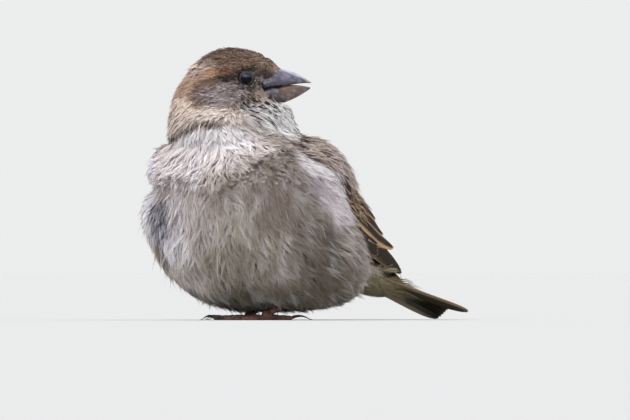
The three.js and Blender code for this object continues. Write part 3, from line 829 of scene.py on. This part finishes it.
# ---------------------------------------------------------------- tail
# Twelve stiff feathers, fanned a little from the rump, the middle pair on top, with five coverts over
# their roots. Each is a shaft with a vane on either side, dark brown with a buff edge.
TAIL_LENGTH, TAIL_DROP, TAIL_TURN, TAIL_TILT = 50, 19.8, 12, 9
TAIL_DARK, TAIL_TIP = (66, 59, 44), (124, 106, 84)
COVERT_DARK, COVERT_EDGE, COVERT_TIP = (104, 90, 74), (158, 138, 116), (160, 140, 118)
# beside the tail's middle line, length, height
UPPER_COVERTS = ((-6, 20, 4.2), (6, 20, 4.2), (-3.5, 24, 4.9), (3.5, 24, 4.9), (0, 28, 5.5))
TAIL_ROOT = (1.5, 32, 20)
tail_frame = (
    Matrix.Translation(TAIL_ROOT)
    @ Matrix.Rotation(math.radians(90 - TAIL_TURN), 4, "Z")
    @ Matrix.Rotation(math.radians(TAIL_DROP), 4, "Y")
    @ Matrix.Rotation(math.radians(-TAIL_TILT), 4, "X")
)

finish = marked_surface("stiff_vane", (0.1, 0.08, 0.06), 0.6, 0.12)
stiff_vane, _, nodes, _ = finish
barbs = nodes.new("ShaderNodeUVMap")
barbs.uv_map = "barbs"
rows = nodes.new("ShaderNodeTexWave")
tune(rows, Scale=14, Distortion=1.2)
relief(finish, barbs.outputs["UV"], rows, 0.35, 0.00012)

VANE_COLUMNS = (-1, -0.86, -0.72, -0.4, -0.07, 0, 0.07, 0.4, 0.72, 0.86, 1)
VANE_ROWS = 16
VANE_GRAIN = 0.08


class Vanes:
    """Flight feathers gathered into one piece: the mesh, and the colour and barbs of each vertex."""

    def __init__(self):
        self.shape = bmesh.new()
        self.barbs = self.shape.loops.layers.uv.new("barbs")
        self.tint = self.shape.verts.layers.float_color.new("markings")

    def feather(self, place, tint):
        """place(along, across) gives a point in millimetres and tint(along, across) its colour."""
        made = bmesh.ops.create_grid(
            self.shape, x_segments=len(VANE_COLUMNS) - 1, y_segments=VANE_ROWS, size=0.5
        )["verts"]
        spots = {}
        for vert in made:
            across = VANE_COLUMNS[round((vert.co.x + 0.5) * (len(VANE_COLUMNS) - 1))]
            spots[vert] = (min(max(vert.co.y + 0.5, 0), 1), across)
        along = np.array([spot[0] for spot in spots.values()])
        across = np.array([spot[1] for spot in spots.values()])
        points = (place(along, across) + FEET) * MM
        colours = tint(along, across)
        for vert, point, colour in zip(spots, points, colours):
            vert.co = point
            vert[self.tint] = (*colour, 1)
        for face in {face for vert in made for face in vert.link_faces}:
            for corner in face.loops:
                t, a = spots[corner.vert]
                corner[self.barbs].uv = (3 * t + 0.5 * abs(a), a)

    def piece(self, name, nodes, thick):
        made = finished(name, self.shape, stiff_vane)
        wall = made.modifiers.new("two sides", "SOLIDIFY")
        wall.thickness = thick * MM
        wall.offset = 0
        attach(made, "root")
        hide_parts(*nodes)


def vane_width(s, blunt):
    """The share of a vane's full width at s of its length. The higher blunt is, the squarer the tip."""
    return (0.55 + 0.45 * ease(s, 0, 0.45)) * np.sqrt(np.clip(1.02 - s**blunt, 0, 1))


def edged(middle, edge, tip, outer, rim):
    """A dark vane with a pale edge on its outer side (outer 1 or -1) or on both (0)."""

    def tint(along, across):
        spot = np.stack((along * 30, across * 3, np.full(len(along), middle[0])), axis=1)
        where = np.abs(across) if outer == 0 else across * outer
        share = ease(where + 0.1 * clouds(spot, 2.5), 1 - rim - 0.1, 1 - rim + 0.1)[:, None]
        ends = ease(along, 0.93, 1.0)[:, None]
        colour = as_light(middle) + share * (as_light(edge) - as_light(middle))
        colour = colour + ends * (as_light(tip) - colour)
        shaft = (np.abs(across) < 0.05)[:, None]
        colour = np.where(shaft, colour * 0.55, colour)
        return colour * (1 + VANE_GRAIN * clouds(spot, 1.2)[:, None])

    return tint


tail_vanes = Vanes()
for pair in range(6):
    for hand in (1, -1):
        fan = Matrix.Rotation(math.radians(hand * (0.9 + 1.75 * pair)), 4, "Z")
        to_bird = np.array(tail_frame @ fan)
        layer = -0.38 * pair - (0.19 if hand < 0 else 0)
        length = TAIL_LENGTH - 2 + 0.45 * pair

        def rectrix(along, across):
            s = 1 - (1 - along) ** 1.3
            half = 3.6 * vane_width(s, 14)
            bow = 0.25 * (1 - across**2) + layer
            spots = np.stack((-3 + s * (length + 3), across * half, bow, np.ones(len(s))), axis=1)
            return (spots @ to_bird.T)[:, :3]

        rim, rim_shade = (0.72, (160, 138, 116)) if pair == 5 else (0.34, (134, 114, 88))
        tail_vanes.feather(rectrix, edged(TAIL_DARK, rim_shade, TAIL_TIP, hand, rim))
for beside_middle, reach, lift in UPPER_COVERTS:

    def upper_covert(along, across):
        half = 4.4 * vane_width(along, 4)
        height = lift * (1 - along**2) + 0.8 + 0.6 * (1 - across**2)
        beside = beside_middle * (1 - 0.3 * along) + across * half
        spots = np.stack((-6 + along * (reach + 6), beside, height, np.ones(len(along))), axis=1)
        return (spots @ np.array(tail_frame).T)[:, :3]

    tail_vanes.feather(upper_covert, edged(COVERT_DARK, COVERT_EDGE, COVERT_TIP, 0, 0.4))
tail_vanes.piece("tail_feathers", ("tail",), 0.2)

# ---------------------------------------------------------------- wings
# Each folded wing lies along the flank: primaries lowest, then secondaries, the broad tertials over
# them, and the rows of coverts on the arm, all dark brown with buff and rufous edges.
WING_LENGTH, TERTIAL_REACH = 70.5, 63
WING_LIFT, WING_GIRTH = 15, 28
TIPS_BED_MIDDLE, TIPS_BED_RADII = 52, (38.0, 15, 15)
MELT = 6
TRUNK_MASSES = (
    # middle, radii
    ((0, -2, 25.5), (32, 34, 23)),
    ((0, -12, 38), (29, 25, 20)),
    ((0, 9, 43), (24, 23, 16.5)),
    ((0, 25.5, 30), (17.5, 18, 14)),
)


def wing_form(points):
    """How far points are outside the trunk and the bed of the wing tips, which melt together."""

    def outside(from_middle, radii):
        scaled = from_middle / np.array(radii, float)
        reach = np.linalg.norm(scaled, axis=1)
        return reach * (reach - 1) / np.linalg.norm(scaled / np.array(radii, float), axis=1)

    away = points - SHOULDER
    in_wing = np.stack((away @ WING_ALONG - TIPS_BED_MIDDLE, away[:, 0], away @ WING_UP), axis=1)
    parts = [outside(points - middle, radii) for middle, radii in TRUNK_MASSES]
    total = parts[0]
    for part in (*parts[1:], outside(in_wing, TIPS_BED_RADII)):
        overlap = np.clip(MELT - np.abs(total - part), 0, None) / MELT
        total = np.minimum(total, part) - overlap**2 * MELT / 4
    return total


def on_wing(along, across, out):
    """A place on the left wing: along runs to its tip, across up it and out away from the body."""
    girth = WING_GIRTH - 13 * np.clip((along - 12) / 60, 0, None) ** 1.6
    lift = math.radians(WING_LIFT) + across / girth
    root = SHOULDER + along[:, None] * WING_ALONG
    way = np.cos(lift)[:, None] * np.array((1, 0, 0)) + np.sin(lift)[:, None] * WING_UP
    near, far = np.zeros(len(along)), np.full(len(along), 60.0)
    for _ in range(16):
        half = (near + far) / 2
        within_form = wing_form(root + way * half[:, None]) < 0
        near = np.where(within_form, half, near)
        far = np.where(within_form, far, half)
    tuck = 3 * (1 - ease(across + 0.55 * along, 0, 18))
    return root + way * (far + out - tuck)[:, None]


def wing_top(a):
    return 14 + 6 * ease(a, 3, 20) - 5 * ease(a, 25, 52) - 11 * ease(a, 52, 72)


def wing_bottom(a):
    return -12 + 7 * ease(a, 15, 66)


def each(count, step):
    return [step * i for i in range(count)]


PRIMARY_TIPS = (0, 0.9, 2.4, 4.6, 7.2, 9.8, 12.4)
WING_ROWS = (
    # primaries, secondaries, tertials, greater and lesser coverts: how far each tip falls short of the
    # first; root, tip and height of the first, each with its step to the next; width and blunt tip;
    # shades of middle, edge and tip, rim
    (
        PRIMARY_TIPS, (34, -3.5), (0, 0.6), (WING_LENGTH, -1.6), 0.55, (-1.0, 0.14), (6.2, 6),
        (52, 44, 36), (150, 126, 98), (104, 88, 70), 0.14,
    ),
    (
        each(6, 0.6), (24, -5), (0, 1.2), (56, -3), 1.25, (-0.35, 0.1), (7.5, 6),
        (52, 42, 34), (138, 110, 82), (134, 110, 86), 0.26,
    ),
    (
        each(3, 6), (24, 1), (0, 3.6), (TERTIAL_REACH, 4.6), 2.6, (0.3, 0.22), (8.6, 5),
        (40, 29, 23), (200, 160, 118), (212, 180, 142), 0.46,
    ),
    (
        each(9, 0.6), (13, -8), (0.5, 2.4), (33, -7), 2.5, (0.5, 0.06), (5.2, 5),
        (44, 32, 25), (196, 152, 112), (220, 192, 160), 0.5,
    ),
    (
        each(8, 0.2), (7, -7), (0.5, 2.7), (20, -6.4), 2.7, (0.85, 0.05), (5.4, 4),
        (66, 51, 42), (188, 152, 122), (232, 218, 202), 0.34,
    ),
)

for side, hand in (("left", 1), ("right", -1)):
    wing_vanes = Vanes()
    for row in WING_ROWS:
        short, root, root_step, tip, tip_step, (low, rise), (width, blunt), *shades, rim = row
        for i, falls_short in enumerate(short):
            start = (root[0] + root_step[0] * i, root[1] + root_step[1] * i)
            stop = (tip[0] - falls_short, tip[1] + tip_step * i)

            def remex(along, across):
                s = 1 - (1 - along) ** 1.3
                a = start[0] + s * (stop[0] - start[0])
                b = start[1] + s * (stop[1] - start[1]) + across * (width / 2 * vane_width(s, blunt))
                b = np.clip(b, wing_bottom(a), wing_top(a))
                points = on_wing(a, b, low + rise * i + 0.3 * (1 - across**2) - 0.25 * np.abs(across))
                return points * (hand, 1, 1)

            wing_vanes.feather(remex, edged(*shades, -1 if rim < 0.3 else 0, rim))
    wing_vanes.piece(f"wing_feathers_{side}", (f"wing_{side}",), 0.16)

# ---------------------------------------------------------------- coat
# Thousands of small body feathers that overlap from the bill to the tail, each a spray of soft barbs
# rooted in the skin. They are laid over one form of body, wings, tail and bill, so that the loose
# ones of the flank spill over the wing.
form_nodes = (*BODY_NODES, "tail", "bill_upper", "bill_lower")
form_shape = shell("form", form_nodes, voxel=1.0, rounds=8)
form_points, form_normals = measured(form_shape)
form_shape.free()
form_coat = coat(form_points)


def lie(places, normals):
    """The way the feathers lie: back from the bill over the head, parting below the cheek to
    the throat and the nape, and down the body to the tail."""
    x, y, z = places.T
    fore, _, over = from_head(places).T
    on_head = ease(z, 58, 66)[:, None]
    under = ease(-over, 3, 8)[:, None]
    back = -0.95 * FORWARD - 0.25 * UP
    parting = np.clip((fore - 1) / 7, -0.7, 0.7)[:, None]
    down = parting * FORWARD - 0.9 * UP
    over_bill = (ease(fore, 10.4, 11.4) * ease(over, -3, -1))[:, None]
    on_flank = (ease(np.abs(x), 14, 27) * ease(y, -26, -8))[:, None]
    body = np.array((0, 0.42, -0.9)) + 0.25 * ease(y, 0, 30)[:, None] * np.array((0, 1, 0.6))
    body = body + on_flank * (0, 0.4, 0.25)
    fan = np.clip((x - 8) / 12, -0.6, 1) * ease(z, 42, 52)
    body = body + (fan * (1 - ease(y, -14, -4)))[:, None] * (0.6, 0, 0)
    on_tail = ease(y, 28, 38)[:, None]
    body = body + on_tail * (np.array((0.2, 0.92, -0.34)) - body)
    way = on_head * (back + under * (down - back)) + (1 - on_head) * body
    way = way + over_bill * (1.2 * FORWARD - way)
    turn = (0.5 - 0.38 * on_head) * clouds(places, 5.0, 3)[:, None] * np.cross(normals, way)
    way = way + turn * (1 - over_bill)
    way -= normals * (way * normals).sum(axis=1)[:, None]
    return way / np.linalg.norm(way, axis=1)[:, None]


CREASE_DEPTH, LOBE_DEPTH, HEM_DEPTH, WRINKLE_DEPTH = 1.3, 3.2, 0.8, 1.0


def tucks(places):
    """How far the coat is pressed in, in folds between its loose lobes."""
    x, y, z = places.T
    lobe = bell(z - 42.4 + 0.15 * (x + 18), 1.9) * (1 - ease(x, -18, -11)) * (y < 0)
    hem = bell(over_hem(places) + 0.8, 1.4) * within(places, (3, -34, 44), (24, 14, 14))
    wrinkle = ease(clouds(places * (1, 1, 0.6), 6.0, 21), -0.1, 0.7) * (z < 56)
    return CREASE_DEPTH * crease(places) + LOBE_DEPTH * lobe + HEM_DEPTH * hem + WRINKLE_DEPTH * wrinkle


form_points = form_points - form_normals * tucks(form_points)[:, None]
form_lie = lie(form_points, form_normals)
nearest_form = KDTree(len(form_points))
for i, point in enumerate(form_points):
    nearest_form.insert(point, i)
nearest_form.balance()

skin.data.calc_loop_triangles()
corners = np.array([triangle.vertices[:] for triangle in skin.data.loop_triangles])
corner_loops = np.array([triangle.loops[:] for triangle in skin.data.loop_triangles])
uv = np.empty(len(skin.data.loops) * 2)
skin.data.uv_layers["OFBake"].data.foreach_get("uv", uv)
uv = uv.reshape(-1, 2)[corner_loops]
facets = skin_points[corners]
facet_middles = facets.mean(axis=1)
facet_areas = np.linalg.norm(
    np.cross(facets[:, 1] - facets[:, 0], facets[:, 2] - facets[:, 0]), axis=1
) / 2
facet_head = from_head(facet_middles)
facet_coat = coat(facet_middles)
PATH = 6
PATCH_LENGTH, PATCH_SPREAD, PATCH_WIDTH = 0.003, 0.0012, 0.0002
BODY_WIDTH, HELD_IN = 33.5, 0.75
# stations: where the points of a barb lie along it, and shade: how light it is at each, darker
# at the root, partly the feathers' own grey bases and partly painted shade deep in the coat
# rise: how high in the coat it starts, how far it climbs and how soon
# gather: how far the barbs close to a tip, and roll: how far each turns about its own length
# tone: how much whole feathers and single barbs vary in shade
# lean: how far feathers stray from the lie, and loose: how far some of them stand off
Layer = namedtuple("Layer", "stations shade rise gather roll tone lean loose")
# the soft under layer, which closes the coat
DOWN = Layer((0.0, 0.5, 1.0), (0.66, 0.84, 0.95), (0.05, 0.7, 0.7), 0.1, 0.25, (0.05, 0.06), 0.2, 0.0)
# the loose tips that lie over it
TIPS = Layer(
    (0.0, 0.35, 0.7, 1.0), (0.72, 0.92, 1.06, 1.14), (0.3, 0.7, 0.55), 0.7, 0.5, (0.07, 0.12), 0.32, 0.5
)
FINE_TIPS = TIPS._replace(shade=(0.76, 0.92, 1.06, 1.16), gather=0.55, tone=(0.1, 0.2), lean=0.14)
# pointed locks that stand out of the outline
LOCKS = Layer(
    (0.0, 0.3, 0.6, 0.85, 1.0), (0.9, 1.0, 1.06, 1.12, 1.16), (0.45, 0.6, 0.6), 0.88, 0.6,
    (0.08, 0.08), 0.45, 0.9,
)


def spray(name, middle, flat, normal, thread, colour, root_uv):
    """One piece of the coat. Every barb is a strip that narrows to a point, along its middle
    stations and across its flat ways, shaded as the body under it, and its patch of the bake
    map lies at its root."""
    barbed = (middle, flat, normal, colour)
    middle, flat, normal, colour = (path.reshape(-1, *path.shape[2:]) for path in barbed)
    count, stations = middle.shape[:2]
    ranks = stations - 1
    rank = np.arange(ranks) / ranks
    taper = np.interp(rank, (0, 0.4, 1), (0.8, 1.0, 0.3))
    wide = flat[:, :-1] * thread / 2 * taper[:, None]

    def outlined(path):
        """What a path says at both edges of the strip, and then at its point."""
        return np.concatenate((path[:, :-1], path[:, :-1], path[:, -1:]), axis=1)

    verts = np.concatenate((middle[:, :-1] - wide, middle[:, :-1] + wide, middle[:, -1:]), axis=1)
    verts[..., 2] = np.maximum(verts[..., 2], 0.05)
    beside = np.concatenate((-np.ones(ranks), np.ones(ranks), np.zeros(1)))
    along = np.concatenate((rank, rank, np.ones(1)))
    patch = np.stack((beside * PATCH_WIDTH, along * PATCH_LENGTH - PATCH_LENGTH / 2), axis=1)
    patch = patch + root_uv.reshape(-1, 1, 2)
    strip = []
    for here in range(ranks - 1):
        there = here + ranks
        strip += [(here, there + 1, there), (here, here + 1, there + 1)]
    strip.append((ranks - 1, 2 * ranks, 2 * ranks - 1))
    triangles = (np.arange(count)[:, None, None] * (2 * ranks + 1) + np.array(strip)).reshape(-1, 3)
    data = bpy.data.meshes.new(name)
    data.vertices.add(count * (2 * ranks + 1))
    data.vertices.foreach_set("co", ((verts.reshape(-1, 3) + FEET) * MM).ravel())
    data.loops.add(len(triangles) * 3)
    data.loops.foreach_set("vertex_index", triangles.ravel())
    data.polygons.add(len(triangles))
    data.polygons.foreach_set("loop_start", np.arange(0, len(triangles) * 3, 3))
    data.polygons.foreach_set("use_smooth", np.ones(len(triangles), bool))
    data.uv_layers.new(name="OFBake").data.foreach_set(
        "uv", patch.reshape(-1, 2)[triangles.ravel()].ravel()
    )
    data.update(calc_edges=True)
    data.normals_split_custom_set_from_vertices(outlined(normal).reshape(-1, 3))
    data.materials.append(plumage)
    piece = bpy.data.objects.new(name, data)
    bpy.context.scene.collection.objects.link(piece)
    mark(piece, np.clip(outlined(colour), 0.003, 0.95).reshape(-1, 3))
    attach(piece, "root")


def follow_lie(roots, length, lean):
    """The path of each feather over the form in PATH steps: its places, the normals and the ways
    that it lies there, and the depth of the coat."""
    spots, norms, ways = np.empty((3, PATH + 1, len(roots), 3))
    depth = np.empty((PATH + 1, len(roots)))
    walker = roots
    for step in range(PATH + 1):
        near = np.array([nearest_form.find(point)[1] for point in walker])
        normal = form_normals[near]
        walker = walker - normal * ((walker - form_points[near]) * normal).sum(axis=1)[:, None]
        way = form_lie[near] + lean[:, None] * np.cross(normal, form_lie[near])
        way /= np.linalg.norm(way, axis=1)[:, None]
        spots[step], norms[step], ways[step], depth[step] = walker, normal, way, form_coat[near, 0]
        walker = walker + way * (length / PATH)[:, None]
    return spots, norms, ways, depth


def feathers(
    name, where, count, barbs, thread, slot, layer,
    long=1.0, broad=1.0, proud=0.0, heart=None, reach=None, own=False,
):
    """Grows one piece of the coat: count feathers of so many barbs each, thread mm wide, rooted in
    the facets that where picks out. A heart is the shades of a feather's middle and fringe. reach
    gives lengths instead of the tables, and own feathers keep their root's colour to their tips."""
    stations = np.array(layer.stations)
    weight = facet_areas * where / (facet_coat[:, 1] * facet_coat[:, 2])
    total = np.cumsum(weight)
    pick = np.searchsorted(total, (np.arange(count) + chance.random(count)) / count * total[-1])
    pick = np.minimum(pick, len(total) - 1)
    mix = chance.dirichlet((1, 1, 1), count)
    roots = (facets[pick] * mix[:, :, None]).sum(axis=1)
    root_uv = (uv[pick] * mix[:, :, None]).sum(axis=1)
    sizes = coat(roots) * (0.8 + 0.4 * chance.random((count, 1)))
    length, width = sizes[:, 1] * long, sizes[:, 2] * broad
    if reach is not None:
        length = reach(roots) * (0.8 + 0.3 * chance.random(count))
    lean = layer.lean * chance.standard_normal(count)

    spots, norms, ways, depth = follow_lie(roots, length, lean)
    if reach is None:
        clear = np.max([on_horn(from_head(spots[step])) for step in (2, 4, PATH)], axis=0) < 0.15
        spots, norms, ways, depth = (path[:, clear] for path in (spots, norms, ways, depth))
        roots, root_uv, sizes = roots[clear], root_uv[clear], sizes[clear]
        length, width, count = length[clear], width[clear], len(roots)

    place = (np.arange(barbs) + 0.5) / barbs * 2 - 1
    place = place + chance.normal(0, 0.6 / barbs, (count, barbs))
    full = (1 - 0.25 * place**2) * (0.7 + 0.3 * chance.random((count, barbs)))
    along = full[:, :, None] * stations
    step = along * PATH
    low = np.minimum(step.astype(int), PATH - 1)
    part = (step - low)[..., None]
    which = np.arange(count)[:, None, None]

    def at(path):
        return path[low, which] * (1 - part) + path[low + 1, which] * part

    normal, way = at(norms), at(ways)
    side = np.cross(normal, way)
    fan = np.sin(np.minimum(0.15 + along * 1.3, 1) * math.pi / 2) * (1 - layer.gather * along**2)
    wave = 0.1 * np.sin(along * 5 + chance.random((count, 1, 1)) * math.tau)
    sideways = width[:, None, None] / 2 * (place[:, :, None] * fan + wave)
    start, climb, power = layer.rise
    rise = start + climb * along**power * (0.8 + 0.25 * chance.random((count, 1, 1)))
    arch = 0.15 * (1 - place[:, :, None] ** 2) * along
    height = at(depth[..., None])[..., 0] * (rise + arch - 1.12)
    height = height + 0.08 * width[:, None, None] * chance.normal(0, 1, (count, barbs, 1)) * along
    loose = (chance.random((count, 1, 1)) < 0.3) * chance.random((count, 1, 1))
    height = height + proud * ease(along, 0, 0.5) + layer.loose * sizes[:, :1, None] * loose * along**3
    middle = at(spots) + side * sideways[..., None] + normal * height[..., None]
    out = np.maximum(np.abs(middle[..., 0]) - BODY_WIDTH, 0)
    middle[..., 0] -= HELD_IN * out * np.sign(middle[..., 0])
    roll = chance.normal(0, layer.roll, (count, barbs, 1, 1))
    flat = side * np.cos(roll) + normal * np.sin(roll)
    colour = markings(middle[:, :, -2].reshape(-1, 3)).reshape(count, barbs, 1, 3)
    if own:
        colour = markings(roots)[:, None, None]
    if heart is not None:
        rim = ease(np.abs(place) + 0.25 * chance.standard_normal((count, barbs)), 0.3, 0.8)[:, :, None]
        share = np.maximum(rim, ease(along, 0.72, 0.95))[..., None]
        colour = as_light(heart[0]) * (1 - share) + as_light(heart[1]) * share
    whole, single = layer.tone
    colour = colour * (1 + whole * chance.standard_normal((count, 1, 1, 1)))
    colour = colour * (1 + single * chance.standard_normal((count, barbs, 1, 1)))
    colour = np.broadcast_to(colour * np.array(layer.shade)[:, None], middle.shape)
    patch = np.stack((place * PATCH_SPREAD, 0 * place), axis=2) + root_uv[:, None]
    spray(name, middle, flat, normal, thread, colour, patch)


x, y, z = facet_middles.T
fore, _, over = facet_head.T
bare = inside(facet_head, (4.6, 9.5, 1.0), (2.9, 3, 2.9)) | (on_horn(facet_head) > 0)
for step in (1, 2):
    # the lower half of the bill is bare a little further back
    bare = bare | (over < -0.4) & (on_horn(facet_head + (step, 0, -0.9 * step)) > 0)
HEAD_FROM, NECK_FROM, BREAST_FROM = 66, 54, 34
head_zone = (z > HEAD_FROM) & (np.linalg.norm(facet_head - (1, 0, 0), axis=1) < 18)
upper_head = head_zone & (over > 1.5)
face = head_zone & ~upper_head & (fore > -7)
nape_zone = head_zone & ~upper_head & ~face
neck_zone = ~head_zone & (z > NECK_FROM)
back_zone = ~head_zone & ~neck_zone & (y > 4) & (z > BREAST_FROM)
vent_zone = ~head_zone & ~neck_zone & ~back_zone & (y > 22)
body_zone = ~(head_zone | neck_zone | back_zone | vent_zone)
left_side = x > 0
face_zones = ~bare & (fore < 11.2)
breast_zone, belly_zone = body_zone & (z > BREAST_FROM), body_zone & (z <= BREAST_FROM)
body_tips = (2430, 8, 0.15)
for name, where, slot, layer, under, upper in (
    # feathers, barbs of each and width of a barb, of the down and then of the tips
    ("crown", upper_head & face_zones, "crown", FINE_TIPS, (1700, 7, 0.24), (2800, 6, 0.15)),
    ("face", face & face_zones, "plumage", FINE_TIPS, (1700, 7, 0.2), (3600, 6, 0.12)),
    ("nape", nape_zone, "crown", FINE_TIPS, (900, 9, 0.26), (1700, 7, 0.15)),
    ("neck", neck_zone, "plumage", FINE_TIPS, (1200, 10, 0.3), (2600, 7, 0.16)),
    ("breast_left", breast_zone & left_side, "plumage", TIPS, (860, 11, 0.4), body_tips),
    ("breast_right", breast_zone & ~left_side, "plumage", TIPS, (860, 11, 0.4), body_tips),
    ("belly_left", belly_zone & left_side, "plumage", TIPS, (860, 11, 0.42), body_tips),
    ("belly_right", belly_zone & ~left_side, "plumage", TIPS, (860, 11, 0.42), body_tips),
    ("back", back_zone, "plumage", TIPS, (700, 14, 0.36), (1000, 9, 0.2)),
    ("vent", vent_zone, "plumage", TIPS, (600, 12, 0.36), (900, 9, 0.18)),
):
    feathers(f"down_{name}", where, *under, slot, DOWN)
    feathers(f"tips_{name}", where, *upper, slot, layer, 0.95, 0.8)

# feathers whose heart is of one shade and their fringe of another
throat_zone = ~bare & inside(facet_head, (8, 8, -11), (8.5, 10, 6)) & (over < -6.6)
marked_zone = ~bare & inside(facet_head, (6.5, 9, -9.2), (6, 8, 5))
ear_zone = inside(facet_head, (-2.5, 10, -4.8), (8, 6, 4))
crown_zone = upper_head & face_zones & (over > 4.5)
shoulder_zone = (z > 46) & (z < 57) & (y > -2) & (y < 20) & (np.abs(x) > 5) & (np.abs(x) < 21)
covert_zone = (z > 36) & (z < 51) & (y > 11) & (y < 28) & (np.abs(x) > 15)
mantle = (z > 38) & (y > 4) & (y < 33) & (np.abs(x) < 16)
for name, where, barbed, (long, broad, proud), hearts in (
    # barbed as above, then how long, broad and proud, and the shades of heart and fringe
    ("throat_fringes", throat_zone, (330, 7, 0.14), (0.9, 0.8, 0.3), ((206, 196, 196), (255, 252, 253))),
    ("throat_marks", marked_zone, (90, 3, 0.44), (1.15, 0.34, 1.0), ((6, 5, 6), (14, 11, 12))),
    ("ear_streaks", ear_zone, (260, 7, 0.14), (1.1, 0.8, 0.25), ((100, 86, 85), (196, 184, 186))),
    ("crown_streaks", crown_zone, (620, 7, 0.15), (0.95, 0.9, 0.25), ((76, 56, 46), (160, 134, 118))),
    ("scapulars", shoulder_zone, (480, 15, 0.22), (1.25, 1.4, 1.8), ((150, 126, 112), (226, 213, 210))),
    ("coverts", covert_zone, (150, 13, 0.24), (1.0, 1.5, 0.9), ((52, 38, 30), (206, 172, 138))),
    ("mantle", mantle, (400, 13, 0.22), (1.15, 1.2, 0.9), ((74, 56, 46), (176, 150, 128))),
):
    groomed = FINE_TIPS if proud < 0.5 or name == "throat_marks" else TIPS
    feathers(name, where, *barbed, "plumage", groomed, long, broad, proud, hearts)


def to_hem(places):
    """From a place on the breast down to where its loose bib of pale locks ends."""
    return np.clip(over_hem(places) * 1.15, 2, 9)


# below: feathers, barbs of each and width of a barb; slot, layer; length, breadth and how far proud
whole_body = (body_zone | vent_zone | neck_zone) & ~bare
feathers("locks_body", whole_body, 1850, 6, 0.17, "plumage", LOCKS, 1.0, 0.7, 0.3)
slate_zone = inside(facet_middles, SLATE[0] + UP, (5, 6, 8))
slate_shades = ((38, 40, 56), (214, 210, 222))
feathers("slate_marks", slate_zone, 110, 7, 0.22, "plumage", TIPS, 0.8, 0.8, 0.6, slate_shades)
feathers("locks_head", head_zone & ~bare & (fore < 9), 800, 4, 0.15, "crown", LOCKS, 0.9, 0.7, 0.3)
bib = (z > 43) & (z < 57) & (y < -12)
feathers("bib", bib, 760, 9, 0.18, "plumage", LOCKS, 1.0, 0.9, 1.3, reach=to_hem)
flank_edge = (z > 32) & (z < 50) & (y > -9) & (y < 10) & (np.abs(x) > 20)
feathers("flank_tufts", flank_edge, 560, 10, 0.17, "plumage", TIPS, 1.1, 1.2, 1.0)
undertail = (y > 28) & (z < 22)
feathers("undertail", undertail, 360, 14, 0.22, "plumage", TIPS, 1.7, 1.5, 0.6, own=True)
beard = (z > 58) & (fore > 9.5) & (over < -7) & (over > -19)
feathers("beard", beard, 260, 7, 0.17, "plumage", LOCKS, 1.0, 0.8, 0.5, own=True)
crest = (fore > -12) & (fore < -9.6) & (over > 4.6) & (over < 7.4)
feathers("crest", crest, 44, 7, 0.16, "crown", LOCKS, 1.0, 0.8, 0.6, ((226, 204, 186), (240, 222, 206)))


def to_bill_edge(places):
    """From a place on the face forward to the slanting line where the bill's horn begins."""
    head = from_head(places)
    return np.clip(9.9 + (head[:, 2] + 2.4) / HORN_SLOPE - head[:, 0], 0.5, 5)


above_gape = head_zone & ~bare & (fore > 10.6) & (over > -2)
feathers("bill_tufts", above_gape, 700, 5, 0.13, "plumage", TIPS, 1.0, 1.0, 0.15, reach=to_bill_edge)
